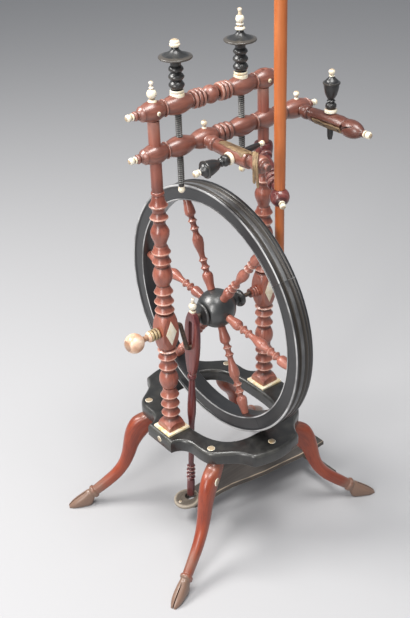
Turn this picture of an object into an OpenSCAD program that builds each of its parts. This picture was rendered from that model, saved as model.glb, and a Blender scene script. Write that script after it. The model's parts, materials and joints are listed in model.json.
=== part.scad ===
// Parlour spinning wheel: a small upright wheel in a turned frame on hoofed legs.
// Millimetres. Origin on the floor under the middle of the wheel.
// X runs along the axle, -Y is the side the spinner sits at, Z is up.

/* [Wheel] */
// Outside diameter of the wheel
wheel_d = 400; // [392:1:404]
// Width of the rim
rim_w = 30; // [26:1:32]
// Height of the axle above the floor
axle_z = 380; // [377:1:384]
// Radius of the hub ball
hub_r = 30.5; // [29.5:0.5:31]
// Thickness of the iron axle and crank
axle_d = 7; // [6:0.5:7.5]
// Throw of the crank
crank_throw = 50; // [46:1:51]

/* [Platform and legs] */
// Height of the table top above the floor
platform_top = 199; // [196:1:200]
// Thickness of the table
platform_t = 22; // [20:1:24]
// Width of the table along the axle
platform_w = 242; // [238:1:248]
// Depth of the table front to back
platform_d = 300; // [296:1:306]
// Half width of the opening for the wheel
opening_x = 72; // [71.5:0.25:72.5]
// Half depth of the opening for the wheel
opening_y = 95; // [92:1:96]
// Turn of three of the legs away from the axle direction
leg_turn = 24.8; // [24:0.2:26]
// Turn of the front right leg
leg_turn_front_right = 29; // [28:0.2:30]
// Bone base plate side
plate_side = 40; // [36:1:41]
// Bone base plate thickness
plate_t = 4; // [3:0.5:5]

/* [Uprights] */
// Distance of each upright from the middle
upright_x = 96; // [96:0.5:97]
// Side of the square block at the axle
block_side = 27.7; // [26.5:0.1:29]
// Height of the square block
block_h = 58; // [54:1:60]
// Radius of the turned rings
ring_r = 14.6; // [13.8:0.1:15]
// Radius of the plain shaft the lower bar slides on
shaft_r = 8.25; // [7.8:0.05:8.4]

/* [Crossbars and screws] */
// Height of the top crossbar
top_bar_z = 720; // [716:1:726]
// Height of the lower crossbar
mother_z = 660; // [656:1:664]
// Radius of the barrels on the crossbars
bar_r = 14; // [13.4:0.1:14.5]
// Distance of each screw from the middle
screw_x = 55; // [53:0.5:57]
// Radius of the screw shaft
screw_r = 5; // [4.5:0.1:5.4]
// Radius of the saucer on each screw knob
saucer_r = 23; // [21:0.5:25]

/* [Arms] */
// Place of the left arm along the lower crossbar
arm_left_x = -15; // [-17:0.5:-13]
// Place of the right arm along the lower crossbar
arm_right_x = 160; // [158:0.5:162]
// Largest radius of an arm
arm_r = 12.9; // [12.5:0.1:13.3]
// Turn of the left arm past level, peg cap down
arm_left_turn = 6; // [0:0.5:10]
// Place of the right peg along its arm
peg_right_y = 72; // [70:0.5:75]
// Place of the left peg along its arm
peg_y = 77; // [75:0.5:79]

/* [Distaff] */
// Place of the pole along the axle direction
pole_x = 40; // [38:0.5:42]
// Place of the pole in front of the uprights
pole_y = -99; // [-101:0.5:-97]
// Height of the ball that holds the pole
pole_ball_z = 588; // [586:1:590]
// Top of the pole
pole_top = 930; // [880:5:960]

/* [Treadle and footman] */
// Place of the treadle pivot along the axle direction
treadle_x = 157; // [156:0.5:158]
// Height of the treadle pivot
treadle_z = 36; // [35:0.5:37]
// Slope of the treadle board at rest
treadle_tilt = 4.5; // [4:0.1:5]
// Thickness of the treadle board
board_t = 10; // [8:0.5:11]
// Thickness of the round disc on the board
disc_t = 6; // [5:0.5:7]
// Width of the footman blade
blade_w = 31; // [29:0.5:32]
// Thickness of the footman blade
blade_t = 9; // [8.6:0.1:9.5]

/* [Fits] */
// Gap on the radius of a glued tenon
fit_gap = 0.05; // [0.02:0.01:0.08]
// Gap on the radius of a running fit
run_gap = 0.08; // [0.05:0.01:0.1]

/* [Hidden] */
$fn = 40;

// Colours of the materials
c_black = [0.09, 0.07, 0.06];
c_wood = [0.42, 0.17, 0.09];
c_bone = [0.86, 0.80, 0.66];
c_iron = [0.30, 0.29, 0.28];
c_hide = [0.66, 0.46, 0.26];
c_pole = [0.72, 0.38, 0.16];
c_grey = [0.24, 0.21, 0.19];

// Heights and places that follow from the sizes above
wheel_r = wheel_d / 2;
platform_low = platform_top - platform_t;
foot_z = platform_top + plate_t;
block_low = axle_z - block_h / 2;
block_top = axle_z + block_h / 2;
bead_z = block_top + 193;
kx = platform_w / 242;
ky = platform_d / 300;
axle_r = axle_d / 2;
rim_in = wheel_r - 25;
spoke_phase = -22;
joint_phase = 54;
pin_x = -49;
pin_z = axle_z - crank_throw;
seat_cut = 13;
collar_r = 10;
collar_h = 9;
knob_z = top_bar_z + bar_r - 3 + collar_h;
screw_low = mother_z - 60;
leg_x = 88;
leg_y = 90;
tenon_r = 6;
rod_front = -128;
rod_back = 119.5;

// Turned half bead that swells by h over the radius r between two heights
function bead(z0, z1, r, h, n = 6) =
  [for (i = [0:n]) [r + h * sin(180 * i / n), z0 + (z1 - z0) * (1 - cos(180 * i / n)) / 2]];

// Soft sweep from one radius to another
function ease(z0, r0, z1, r1, n = 5) =
  [for (i = [0:n]) [r0 + (r1 - r0) * (1 - cos(180 * i / n)) / 2, z0 + (z1 - z0) * i / n]];

// Turned disc with hollow flanks and a sharp edge
function flange(z0, z1, r, h, n = 8) =
  [for (i = [0:n]) [r + h * pow(1 - abs(2 * i / n - 1), 1.2), z0 + (z1 - z0) * i / n]];

// Long swelling between two heights, fuller for a small power
function barrel(z0, z1, r0, r1, n = 8, power = 0.75) =
  [for (i = [0:n]) [r0 + (r1 - r0) * pow(sin(180 * i / n), power), z0 + (z1 - z0) * i / n]];

// Part of a ball between two heights
function ball(zc, r, z0, z1, n = 8) =
  [for (i = [0:n]) let(z = z0 + (z1 - z0) * i / n) [sqrt(max(0, r * r - pow(z - zc, 2))), z]];

// The same list without repeated points
function tidy(p) = [for (i = [0:len(p) - 1]) if (i == 0 || norm(p[i] - p[max(0, i - 1)]) > 0.01) p[i]];

// The profile list turned about the Z axis
module turned(p) {
  q = tidy(p);
  n = len(q);
  head = q[0][0] > 0.02 ? [[0, q[0][1]]] : [];
  tail = q[n - 1][0] > 0.02 ? [[0, q[n - 1][1]]] : [];
  rotate_extrude() polygon(concat(head, [for (v = q) [max(0, v[0] < 0.02 ? 0 : v[0]), v[1]]], tail));
}

// A rod between two points
module rod(a, b, r) {
  d = b - a;
  len_d = norm(d);
  translate(a)
    rotate([0, acos(d[2] / len_d), atan2(d[1], d[0])])
      cylinder(r = r, h = len_d);
}

// Points of a cubic curve, the first point left out
function bez(a, b, c, d, n) = [for (i = [1:n]) let(t = i / n)
  a * pow(1 - t, 3) + 3 * b * t * pow(1 - t, 2) + 3 * c * t * t * (1 - t) + d * pow(t, 3)];

// One quarter of the table edge, from the block face round to the front
quarter = concat([[121, 0], [121, 10], [121, 20], [121, 30]],
  bez([121, 30], [106, 32], [97, 42], [97, 58], 6),
  bez([97, 58], [97, 80], [96, 88], [84, 98], 7),
  bez([84, 98], [68, 109], [53, 116], [45, 140], 6),
  bez([45, 140], [30, 146], [15, 149], [0, 149.5], 4));
nq = len(quarter);
edge_raw = concat(quarter,
  [for (i = [nq - 2:-1:0]) [-quarter[i][0], quarter[i][1]]],
  [for (i = [1:nq - 1]) [-quarter[i][0], -quarter[i][1]]],
  [for (i = [nq - 2:-1:1]) [quarter[i][0], -quarter[i][1]]]);
edge = [for (v = edge_raw) [v[0] * kx, v[1] * ky]];

// Point of the opening in the same direction as an edge point
function inner(v) = let(a = atan2(v[1], v[0]),
  r = pow(pow(abs(cos(a)) / opening_x, 3) + pow(abs(sin(a)) / opening_y, 3), -1 / 3))
  [r * cos(a), r * sin(a)];

// Cross section of the table at one edge point, round-overs on the top edges
function table_ring(v) = let(w = inner(v), u = (v - w) / norm(v - w), a = 6.5, t = platform_top,
  b = platform_low)
  [for (k = [[v, -2, b], [v, 0, b + 2], [v, 0, t - a], [v, -a * 0.29, t - a * 0.29], [v, -a, t],
    [w, a, t], [w, a * 0.29, t - a * 0.29], [w, 0, t - a], [w, 0, b + 2], [w, 2, b]])
    [k[0][0] + u[0] * k[1], k[0][1] + u[1] * k[1], k[2]]];

module ring_solid(rings) {
  n = len(rings);
  m = len(rings[0]);
  pts = [for (r = rings) for (p = r) p];
  faces = [for (i = [0:n - 1]) for (j = [0:m - 1])
    let(a = i * m + j, b = i * m + (j + 1) % m, c = ((i + 1) % n) * m + (j + 1) % m,
      d = ((i + 1) % n) * m + j)
    each [[a, b, c], [a, c, d]]];
  polyhedron(pts, faces);
}

// Skin over a row of rings, closed at both ends
module loft(rings) {
  n = len(rings[0]);
  k = len(rings);
  polyhedron([for (r = rings) for (p = r) p], concat(
    [[for (j = [0:n - 1]) j]],
    [for (i = [0:k - 2]) for (j = [0:n - 1])
      let(a = i * n + j, b = i * n + (j + 1) % n, c = (i + 1) * n + (j + 1) % n, d = (i + 1) * n + j)
      each [[a, c, b], [a, d, c]]],
    [[for (j = [n - 1:-1:0]) (k - 1) * n + j]]));
}

// Places of the studs on the table top
stud_spots = [[82, 82], [-82, 82], [82, -82], [-82, -82], [0, 129], [0, -129]];

module platform() color(c_black) difference() {
  ring_solid([for (v = edge) table_ring(v)]);
  for (sx = [-1, 1])
    translate([sx * upright_x, 0, platform_low + 3])
      cylinder(r = 9 + fit_gap, h = platform_t);
  for (s = stud_spots)
    translate([s[0] * kx, s[1] * ky, platform_top - 4])
      cylinder(r = 6.2 + fit_gap, h = 10);
  for (sx = [-1, 1])
    translate([sx * (platform_w / 2 - 4), 0, platform_top - 11])
      rotate([0, sx * 90, 0])
        cylinder(r = 5 + fit_gap, h = 10);
}

// A flat round stud with a low crown, standing on z = 0
module stud(r, h) turned([[r, 0], [r, h - 1.2], [r * 0.8, h - 0.4], [r * 0.4, h]]);

module bone_studs() color(c_bone) {
  for (s = stud_spots)
    translate([s[0] * kx, s[1] * ky, platform_top - 4])
      stud(6.2, 5);
  for (sx = [-1, 1])
    translate([sx * (platform_w / 2 - 4), 0, platform_top - 11])
      rotate([0, sx * 90, 0])
        stud(5, 5);
  leg_place(-1, -1)
    translate([8, 8, platform_low - 26])
      rotate([-90, 0, 0])
        stud(6.6, 5.6);
}

// Leg stations: distance out, height below the table or above the floor, slant, depth, width
leg_drop = platform_low - 177;
stations = [[-17, 177, 0, 26, 22], [-12, 166.5, 13, 31, 24], [-4, 159.2, 27, 36, 25], [4, 152, 34.5, 39, 25],
  [11.8, 143.5, 35.6, 37.8, 24.5], [19, 131.7, 29.6, 33.4, 23.5], [26, 114, 14, 26.5, 22],
  [32, 94, 19, 22.5, 20.5], [41, 74, 31, 20, 19], [55, 56, 46, 19.5, 17.5], [74, 40.5, 52, 19, 16.5],
  [90, 29, 55, 18, 15.5], [92.5, 27.4, 57, 18, 15.4], [94, 26.4, 58, 22, 18.8], [98, 23.6, 60, 22.4, 19.2],
  [100, 22, 62, 18.4, 15.6], [106, 13.6, 78, 30, 18], [114, 11.2, 90, 27, 19], [124, 8, 90, 20.5, 18.6],
  [133, 4.8, 90, 14, 15.5], [141, 1.4, 90, 6.4, 8]];

// Height of a station, the upper ones following the table
function stand(z) = z > 120 ? z + leg_drop : z + leg_drop * max(0, z - 60) / 60;

function leg_ring(s, n = 16) = [for (i = [0:n - 1]) let(t = 360 * i / n,
  cd = sign(cos(t)) * pow(abs(cos(t)), 0.85) * s[3] / 2,
  cw = sign(sin(t)) * pow(abs(sin(t)), 0.85) * s[4] / 2)
  [s[0] + cd * cos(s[2]), cw, max(0, min(platform_low, stand(s[1]) + cd * sin(s[2])))]];

module leg_place(sx, sy) {
  odd = sx > 0 && sy < 0;
  mirror([sx < 0 ? 1 : 0, 0, 0])
    mirror([0, sy < 0 ? 1 : 0, 0])
      translate([(odd ? leg_x - 4 : leg_x) * kx, leg_y * ky, 0])
        rotate([0, 0, odd ? leg_turn_front_right : leg_turn])
          children();
}

module leg(sx, sy) color(c_wood) difference() {
  leg_place(sx, sy) difference() {
    loft([for (s = stations) leg_ring(s)]);
    translate([0, 0.9, 0])
      rotate([90, 0, 0])
        linear_extrude(1.8)
          polygon([[106, 40], [150, 40], [150, -5], [122, -5]]);
  }
  if (sx > 0)
    translate([treadle_x, sy < 0 ? rod_front - 0.5 : rod_back + 0.5, treadle_z])
      rotate([sy * 90, 0, 0])
        cylinder(r = 4 + run_gap, h = 30);
  if (sx < 0 && sy < 0)
    leg_place(sx, sy)
      translate([8, 8 - fit_gap, platform_low - 26])
        rotate([-90, 0, 0])
          cylinder(r = 6.6 + fit_gap, h = 20);
}

module leg_front_left() leg(-1, -1);
module leg_front_right() leg(1, -1);
module leg_back_left() leg(-1, 1);
module leg_back_right() leg(1, 1);

module base_plates() color(c_bone)
  for (sx = [-1, 1])
    translate([sx * upright_x, 0, platform_top])
      difference() {
        translate([-plate_side / 2, -plate_side / 2, 0])
          cube([plate_side, plate_side, plate_t]);
        translate([0, 0, -1])
          cylinder(r = 9 + fit_gap, h = plate_t + 2);
      }

// Height on the lower turned stretch, given for a stretch of 148
function low(d) = foot_z + d * (block_low - foot_z) / 148;
function up(d) = block_top + d;

lower_turning = concat([[10, low(14)], [10.6, low(20)]], bead(low(20.6), low(34.4), 11.4, ring_r - 11.4),
  bead(low(36.6), low(51.4), 11.4, ring_r - 11.4), bead(low(54.2), low(69.2), 11.2, ring_r - 11.2),
  ease(low(70), 10.6, low(74), 9.4, 2), bead(low(75), low(104), 9.2, ring_r - 8.9, 10),
  flange(low(106), low(122.5), 9.4, ring_r - 9.4), flange(low(124), low(139.6), 9.8, ring_r - 9.8),
  flange(low(140), low(147.6), 10.6, ring_r - 11), [[11, low(149)]]);

upper_turning = concat([[11, up(-1)]], flange(up(0), up(14.2), 10.2, ring_r - 10.2),
  flange(up(14.6), up(29.6), 9.8, ring_r - 10), flange(up(30.6), up(47), 9.2, ring_r - 9.4),
  bead(up(50), up(78), 8.8, ring_r - 9.4, 10), flange(up(80.4), up(95.6), 9.2, ring_r - 9.8),
  flange(up(96.2), up(111), 9, ring_r - 9.6), ease(up(113), 8.6, up(132), ring_r - 1, 6),
  ease(up(134), ring_r - 1, up(148), 8.6, 5), flange(up(150), up(165), 8.8, ring_r - 10),
  [[9.2, up(166)], [10, up(169)], [11.4, up(172)], [ring_r - 1.2, up(174)], [ring_r - 1.2, up(175.4)],
    [12.2, up(177)], [10.6, up(179.6)], [9.4, up(184)], [8.7, up(190)]],
  bead(up(190.5), up(196), shaft_r, 1.3),
  [[shaft_r, up(197)], [shaft_r, top_bar_z - seat_cut], [tenon_r, top_bar_z - seat_cut],
    [tenon_r, top_bar_z + 4]]);

module upright_body(side) {
  intersection() {
    turned(concat([[21.4, foot_z], [21.4, foot_z + 3]], ease(low(3), 21.3, low(20), 10, 6),
      [[10, low(21)]]));
    translate([-15, -15, foot_z])
      cube([30, 30, 40]);
  }
  cut = block_side * 0.7072;
  turned([[9, platform_low + 3], [9, foot_z + 2]]);
  turned(lower_turning);
  intersection() {
    turned(barrel(block_low - 0.5, block_top + 0.5, 12.2, cut, 12, 0.7));
    translate([-block_side / 2, -block_side / 2, block_low - 5])
      cube([block_side, block_side, block_h + 10]);
  }
  turned(upper_turning);
}

module tenon_pin_bore(sx)
  translate([sx * upright_x, -16, top_bar_z])
    rotate([-90, 0, 0])
      cylinder(r = 1.6 + fit_gap, h = 24);

// Bone lozenge sunk into the front of a block
module lozenge(grow, y0, t)
  translate([0, y0, axle_z])
    rotate([-90, 0, 0])
      linear_extrude(t)
        polygon([[0, 21 + grow * 2], [9.6 + grow, 0], [0, -21 - grow * 2], [-9.6 - grow, 0]]);

module upright_left() color(c_wood) difference() {
  translate([-upright_x, 0, 0])
    upright_body(-1);
  tenon_pin_bore(-1);
  translate([-upright_x - block_side, 0, axle_z])
    rotate([0, 90, 0])
      cylinder(r = 6 + run_gap, h = block_side * 2);
  translate([-upright_x, 0, 0])
    lozenge(fit_gap, -block_side / 2 - 1, 2.5);
}

module upright_right() color(c_wood) difference() {
  translate([upright_x, 0, 0])
    upright_body(1);
  tenon_pin_bore(1);
  translate([upright_x - block_side, 0, axle_z])
    rotate([0, 90, 0])
      cylinder(r = axle_r + run_gap, h = block_side + 3);
  translate([upright_x, 0, 0])
    lozenge(fit_gap, -block_side / 2 - 1, 2.5);
}

module diamond_inlays() color(c_bone)
  for (sx = [-1, 1])
    translate([sx * upright_x, 0, 0])
      lozenge(0, -block_side / 2 - 0.3, 1.8);

// One side of a crossbar from the inner ring out to the tip, along positive z
function bar_side(s, u) = concat(bead(s - 41, s - 36.5, 8.6, 4.6, 5), [[8.6, s - 36]],
  bead(s - 35.5, s - 29.5, 8.6, 4.9, 5), [[8.4, s - 28.7]], bead(s - 28, s - 23, 8.8, 4.4, 5),
  ease(s - 22.6, 8.8, s - 20.5, 10.5, 2), barrel(s - 20, s + 21, 10.6, bar_r), [[9.6, s + 22]],
  bead(s + 22.4, u - 16.2, 9.6, 2.6, 4), barrel(u - 15.8, u + 17, 10.6, bar_r),
  ease(u + 17.5, 10.8, u + 25, 6.2, 4), [[4.6, u + 26]], bead(u + 26, u + 31, 4.6, 2, 4), [[4.4, u + 32]]);

function flip(p) = [for (i = [len(p) - 1:-1:0]) [p[i][0], -p[i][1]]];

module along_x() rotate([0, 90, 0]) children();

module top_crossbar() color(c_wood) difference() {
  translate([0, 0, top_bar_z])
    along_x()
      turned(concat(flip(bar_side(screw_x, upright_x)), ball(0, 13, -screw_x + 42.5, screw_x - 42.5, 8),
        bar_side(screw_x, upright_x)));
  for (sx = [-1, 1]) {
    translate([sx * upright_x, 0, top_bar_z - 30])
      cylinder(r = shaft_r + 0.3, h = 30 - seat_cut);
    translate([sx * upright_x, 0, top_bar_z - 20])
      cylinder(r = tenon_r + fit_gap, h = 24.4);
    translate([sx * upright_x, 0, top_bar_z + 6])
      cylinder(r = 2.5 + fit_gap, h = 20);
    translate([sx * upright_x, 0, top_bar_z + bar_r - 1.4])
      cylinder(r = 6.4, h = 20);
    translate([sx * screw_x, 0, top_bar_z - 30])
      cylinder(r = screw_r + run_gap, h = 60);
    translate([sx * screw_x, 0, top_bar_z + bar_r - 3])
      cylinder(r = collar_r + 0.2, h = 20);
    tenon_pin_bore(sx);
  }
}

// Bone end: a thin disc and a ball, standing on z = 0
module bone_tip(r, rb)
  turned(concat([[r, 0], [r, 1.6], [rb * 0.55, 2.2]], ball(2 + rb, rb, 2.8, 2 + 2 * rb, 8)));

module top_crossbar_tips() color(c_bone)
  for (sx = [-1, 1])
    translate([sx * (upright_x + 32), 0, top_bar_z])
      rotate([0, sx * 90, 0])
        bone_tip(4.8, 4.9);

module upright_finial() color(c_bone)
  translate([-upright_x, 0, top_bar_z + bar_r - 1.4])
    turned(concat([[2.5, -6], [2.5, 0], [6.2, 0], [6, 1.6], [4.4, 3.4], [3, 4.6]],
      ball(11.2, 6.8, 5.4, 17.2, 8), [[2.8, 18.4], [3.4, 19.6], [2.4, 20.8], [1.8, 23]],
      ball(25.8, 3.1, 24, 28.9, 5)));

module tenon_pins() color(c_bone)
  for (sx = [-1, 1])
    translate([sx * upright_x, -bar_r - 2.2, top_bar_z])
      rotate([-90, 0, 0])
        turned([[1.2, 0], [2.6, 0.7], [3, 1.6], [3, 2.1], [1.6, 2.1], [1.6, bar_r + 8]]);

module screw_collars() color(c_bone)
  for (sx = [-1, 1])
    translate([sx * screw_x, 0, top_bar_z + bar_r - 3])
      difference() {
        turned([[collar_r, 0], [collar_r, 4.4], [collar_r - 1, 5], [collar_r - 1, 6], [collar_r - 0.4, 6.6],
          [collar_r - 0.4, collar_h - 0.6], [collar_r - 1, collar_h]]);
        translate([0, 0, -1])
          cylinder(r = screw_r + run_gap, h = collar_h + 2);
      }

module axle_bush() color(c_wood)
  translate([upright_x - block_side / 2, 0, axle_z])
    rotate([0, -90, 0])
      difference() {
        turned(concat([[9.4, 0], [9.4, 2]], bead(2.4, 6.4, 7.6, 1.6, 5), bead(6.8, 10.4, 7, 1.6, 5),
          [[6.6, 11], [7.4, 13], [7.4, 15.5]]));
        translate([0, 0, -1])
          cylinder(r = axle_r + run_gap, h = 30);
      }

// Rim cross section: radius and place across the rim
rim_raw = [[175, -11.5], [178, -13.5], [181, -13.5], [183, -12.3], [191, -12.3], [193, -14.3], [196, -15],
  [199, -15], [200, -14], [200, -12.6], [198.5, -12], [195.6, -10], [195.2, -9], [195.6, -8], [198.6, -6.2],
  [199.4, -5], [199.4, -1], [198.6, 0.2], [195.6, 2], [195.2, 3], [195.6, 4], [198.2, 6], [199, 7],
  [199, 8.2], [198, 9], [197.2, 9.8], [198, 10.8], [200, 11.8], [200, 14], [199, 15], [196, 15], [193, 14.3],
  [191, 12.3], [183, 12.3], [181, 13.5], [178, 13.5], [175, 11.5]];

module felloe(k) color(c_black) translate([0, 0, axle_z]) difference() {
  rotate([joint_phase + 90 * k, 0, 0])
    rotate([0, 0, 180])
      rotate([0, -90, 0])
        rotate_extrude(angle = 90)
          polygon([for (v = rim_raw) [v[0] + wheel_r - 200, v[1] * rim_w / 30]]);
  for (i = [0:5])
    rotate([spoke_phase + 60 * i, 0, 0])
      translate([0, 0, rim_in - 6])
        cylinder(r = 4.5 + fit_gap, h = 16.5);
}

module rim_felloe_1() felloe(0);
module rim_felloe_2() felloe(1);
module rim_felloe_3() felloe(2);
module rim_felloe_4() felloe(3);

// Distance along a spoke from the axle, given for a hub of 30.5 and a rim of 175
function along(d) = hub_r + (d - 30.5) * (rim_in - hub_r) / 144.5;

spoke_turning = concat([[4.5, hub_r - 9], [4.5, hub_r - 0.8], [6.2, hub_r + 0.1]],
  ease(along(34), 6.2, along(52), 8.4, 4), [[8.2, along(54)], [7, along(56.2)], [5, along(58)]],
  flange(along(60), along(70.6), 4.4, 2.9), flange(along(72), along(82.6), 4.4, 2.8),
  ease(along(84), 4.6, along(107), 8.4, 6), ease(along(109), 8.4, along(121), 4.6, 5),
  flange(along(122), along(132.6), 4.4, 2.9), flange(along(134), along(144.6), 4.4, 2.9),
  [[5, along(146.6)], [7, along(148.4)], [8.2, along(150.6)]], ease(along(152.4), 8.4, along(174), 5.8, 4),
  [[5.6, rim_in - 0.1], [4.5, rim_in - 0.1], [4.5, rim_in + 9.8]]);

module spoke(i) color(c_wood)
  translate([0, 0, axle_z])
    rotate([spoke_phase + 60 * i, 0, 0])
      turned(spoke_turning);

module spoke_1() spoke(0);
module spoke_2() spoke(1);
module spoke_3() spoke(2);
module spoke_4() spoke(3);
module spoke_5() spoke(4);
module spoke_6() spoke(5);

module hub() color(c_black) translate([0, 0, axle_z]) difference() {
  along_x()
    turned(concat([[8, -32], [12, -31.6]], bead(-31.4, -25.4, 12, 5.8, 6), [[14.5, -25]],
      ball(0, hub_r, -hub_r * 0.8, hub_r * 0.9, 12), [[9.4, hub_r + 1]],
      ease(hub_r + 3, 8.8, hub_r + 8, 8.4, 2), [[10.5, hub_r + 9]],
      bead(hub_r + 9.4, hub_r + 19, 10.5, 3.2, 6), [[9, hub_r + 20.5], [6, hub_r + 22]]));
  translate([-60, 0, 0])
    along_x()
      cylinder(r = axle_r + fit_gap, h = 140);
  for (i = [0:5])
    rotate([spoke_phase + 60 * i, 0, 0]) {
      translate([0, 0, hub_r - 9.5])
        cylinder(r = 4.5 + fit_gap, h = 20);
      translate([0, 0, hub_r - 1])
        cylinder(r = 8.6, h = 20);
    }
}

module crank_axle() color(c_iron) translate([0, 0, axle_z]) {
  a = [-90, 0, 0];
  b = [-70, 0, 0];
  c = [pin_x - 10, 0, -crank_throw];
  d = [pin_x + 10, 0, -crank_throw];
  e = [-36.5, 0, 0];
  f = [upright_x - 2, 0, 0];
  past = [axle_r * 0.8, 0, 0];
  rod(a, b + past, axle_r);
  rod(b, c, axle_r - 0.02);
  rod(c - past, d + past, axle_r);
  rod(d, e, axle_r - 0.02);
  rod(e - past, f, axle_r);
}

module pivot_screw() color(c_bone)
  translate([-126, 0, axle_z])
    along_x()
      difference() {
        turned(concat([[6.5, 0]], bead(0.4, 5, 6.5, 2.4, 5), [[6.8, 5.6]], bead(6, 10, 6.8, 2.2, 5),
          [[7, 10.6]], bead(11, 15, 7, 2, 5), [[6, 15.4], [6, 126 - upright_x + block_side / 2 + 3]]));
        translate([0, 0, 30])
          cylinder(r = axle_r + run_gap, h = 60);
      }

module pivot_ball() color(c_bone)
  translate([-126, 0, axle_z])
    rotate([0, -90, 0])
      turned(concat([[8, 0], [8.4, 1.2], [7.4, 3], [4.6, 5], [4.2, 9], [5, 12]],
        ball(27, 15, 13.2, 42, 12)));

// Footman along its own axis, z measured up from the crank pin
foot_lean = 3.4;
foot_end = pin_z - 42.3;

module footman_place()
  translate([pin_x, 0, pin_z])
    rotate([0, foot_lean, 0])
      children();

footman_turning = concat([[5, -foot_end], [6.4, -foot_end + 2], [6.4, -foot_end + 28],
  [5.8, -foot_end + 33]],
  bead(-foot_end + 34, -foot_end + 42, 5.4, 1.7, 5), [[5.2, -foot_end + 43]],
  bead(-foot_end + 44, -foot_end + 53, 5.3, 2, 5), [[5, -foot_end + 54]],
  bead(-foot_end + 55, -foot_end + 63, 5, 1.7, 5), [[4.4, -foot_end + 67]],
  ease(-foot_end + 75, 4.6, -150, 4.8, 2),
  ease(-148, 4.8, -118, 6.9, 4), ease(-112, 6.9, -62, 5, 5),
  bead(-58, -49, 5, 2.2, 5), [[5.6, -47], [5.6, -44]]);

// One edge of the blade: half width and height above the crank pin
blade_edge = concat([[6.6, -48]], bez([6.6, -48], [13, -44], [16, -30], [15.5, -8], 6),
  bez([15.5, -8], [15.2, 20], [15, 38], [14.2, 44], 4), bez([14.2, 44], [12.5, 52], [9, 58], [5.5, 60], 4));

module footman() color(c_wood) footman_place() difference() {
  union() {
    turned(footman_turning);
    translate([-blade_t / 2, 0, 0])
      rotate([90, 0, 90])
        linear_extrude(blade_t)
          polygon(concat([for (v = blade_edge) [v[0] * blade_w / 31, v[1]]],
            [for (i = [len(blade_edge) - 1:-1:0]) [-blade_edge[i][0] * blade_w / 31, blade_edge[i][1]]]));
  }
  rotate([0, 90 - foot_lean, 0])
    translate([0, 0, -20])
      cylinder(r = axle_r + run_gap, h = 40);
  translate([-20, 0, 42])
    rotate([0, 90, 0])
      cylinder(r = axle_r + run_gap, h = 40);
  rotate([0, -foot_lean, 0])
    translate([-20, -axle_r - run_gap, 0])
      cube([40, 2 * (axle_r + run_gap), 41]);
}

module footman_finial() color(c_bone)
  footman_place()
    translate([0, 0, 60])
      turned(concat([[4.6, 0], [5.2, 1.2], [5.2, 2.6], [3, 4]], ball(10.5, 6.2, 5.2, 16, 8),
        [[2.4, 17.5], [2, 20]], ball(22, 2.6, 20.4, 24.6, 5)));

// Treadle in its own frame: pivot at the origin, the board running to -X
rod_r = 7;
board_low = rod_r;
disc_x = -(treadle_x + 73.6);
hole_x = -(treadle_x + 64.9);

module treadle_place()
  translate([treadle_x, 0, treadle_z])
    rotate([0, -treadle_tilt, 0])
      children();

// Loose slot for the foot of the footman
slot_r = 8.6;

module footman_slot() {
  for (dx = [-1.8, 1.8])
    translate([hole_x + dx, 0, board_low - 5])
      cylinder(r = slot_r, h = 40);
  translate([hole_x - 1.8, -slot_r, board_low - 5])
    cube([3.6, 2 * slot_r, 40]);
}

// Half width of the board at a distance from the pivot
board_half = concat([[34, 50], [20, 50], [-20, 48], [-55, 42], [-90, 37], [-120, 30], [-150, 22],
  [-175, 19.5], [-205, 19.5]], [for (i = [0:6]) [-212 - 24 * sin(15 * i), 19.5 * cos(15 * i) + 0.01]]);

module treadle_board() color(c_grey) treadle_place() difference() {
  translate([0, 0, board_low])
    linear_extrude(board_t)
      polygon(concat([for (v = board_half) [v[0], v[1]]],
        [for (i = [len(board_half) - 2:-1:0]) [board_half[i][0], -board_half[i][1]]]));
  footman_slot();
}

module treadle_disc() color(c_grey) treadle_place() difference() {
  translate([disc_x, 0, board_low + board_t])
    turned([[20.5, 0], [21.5, 1], [21.5, disc_t - 1.4], [20, disc_t]]);
  footman_slot();
  translate([disc_x - 13.5, 0, board_low + board_t + disc_t - 3])
    cylinder(r = 2.6 + fit_gap, h = 10);
}

module treadle_pin() color(c_bone) treadle_place()
  translate([disc_x - 13.5, 0, board_low + board_t + disc_t - 3])
    turned([[2.6, 0], [2.6, 3.4], [1.6, 4.4]]);

module treadle_rod() color(c_grey)
  translate([treadle_x, 0, treadle_z])
    rotate([90, 0, 0])
      turned([[4, -rod_back], [4, -101], [rod_r, -100], [rod_r, 109], [4, 110], [4, -rod_front]]);

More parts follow.
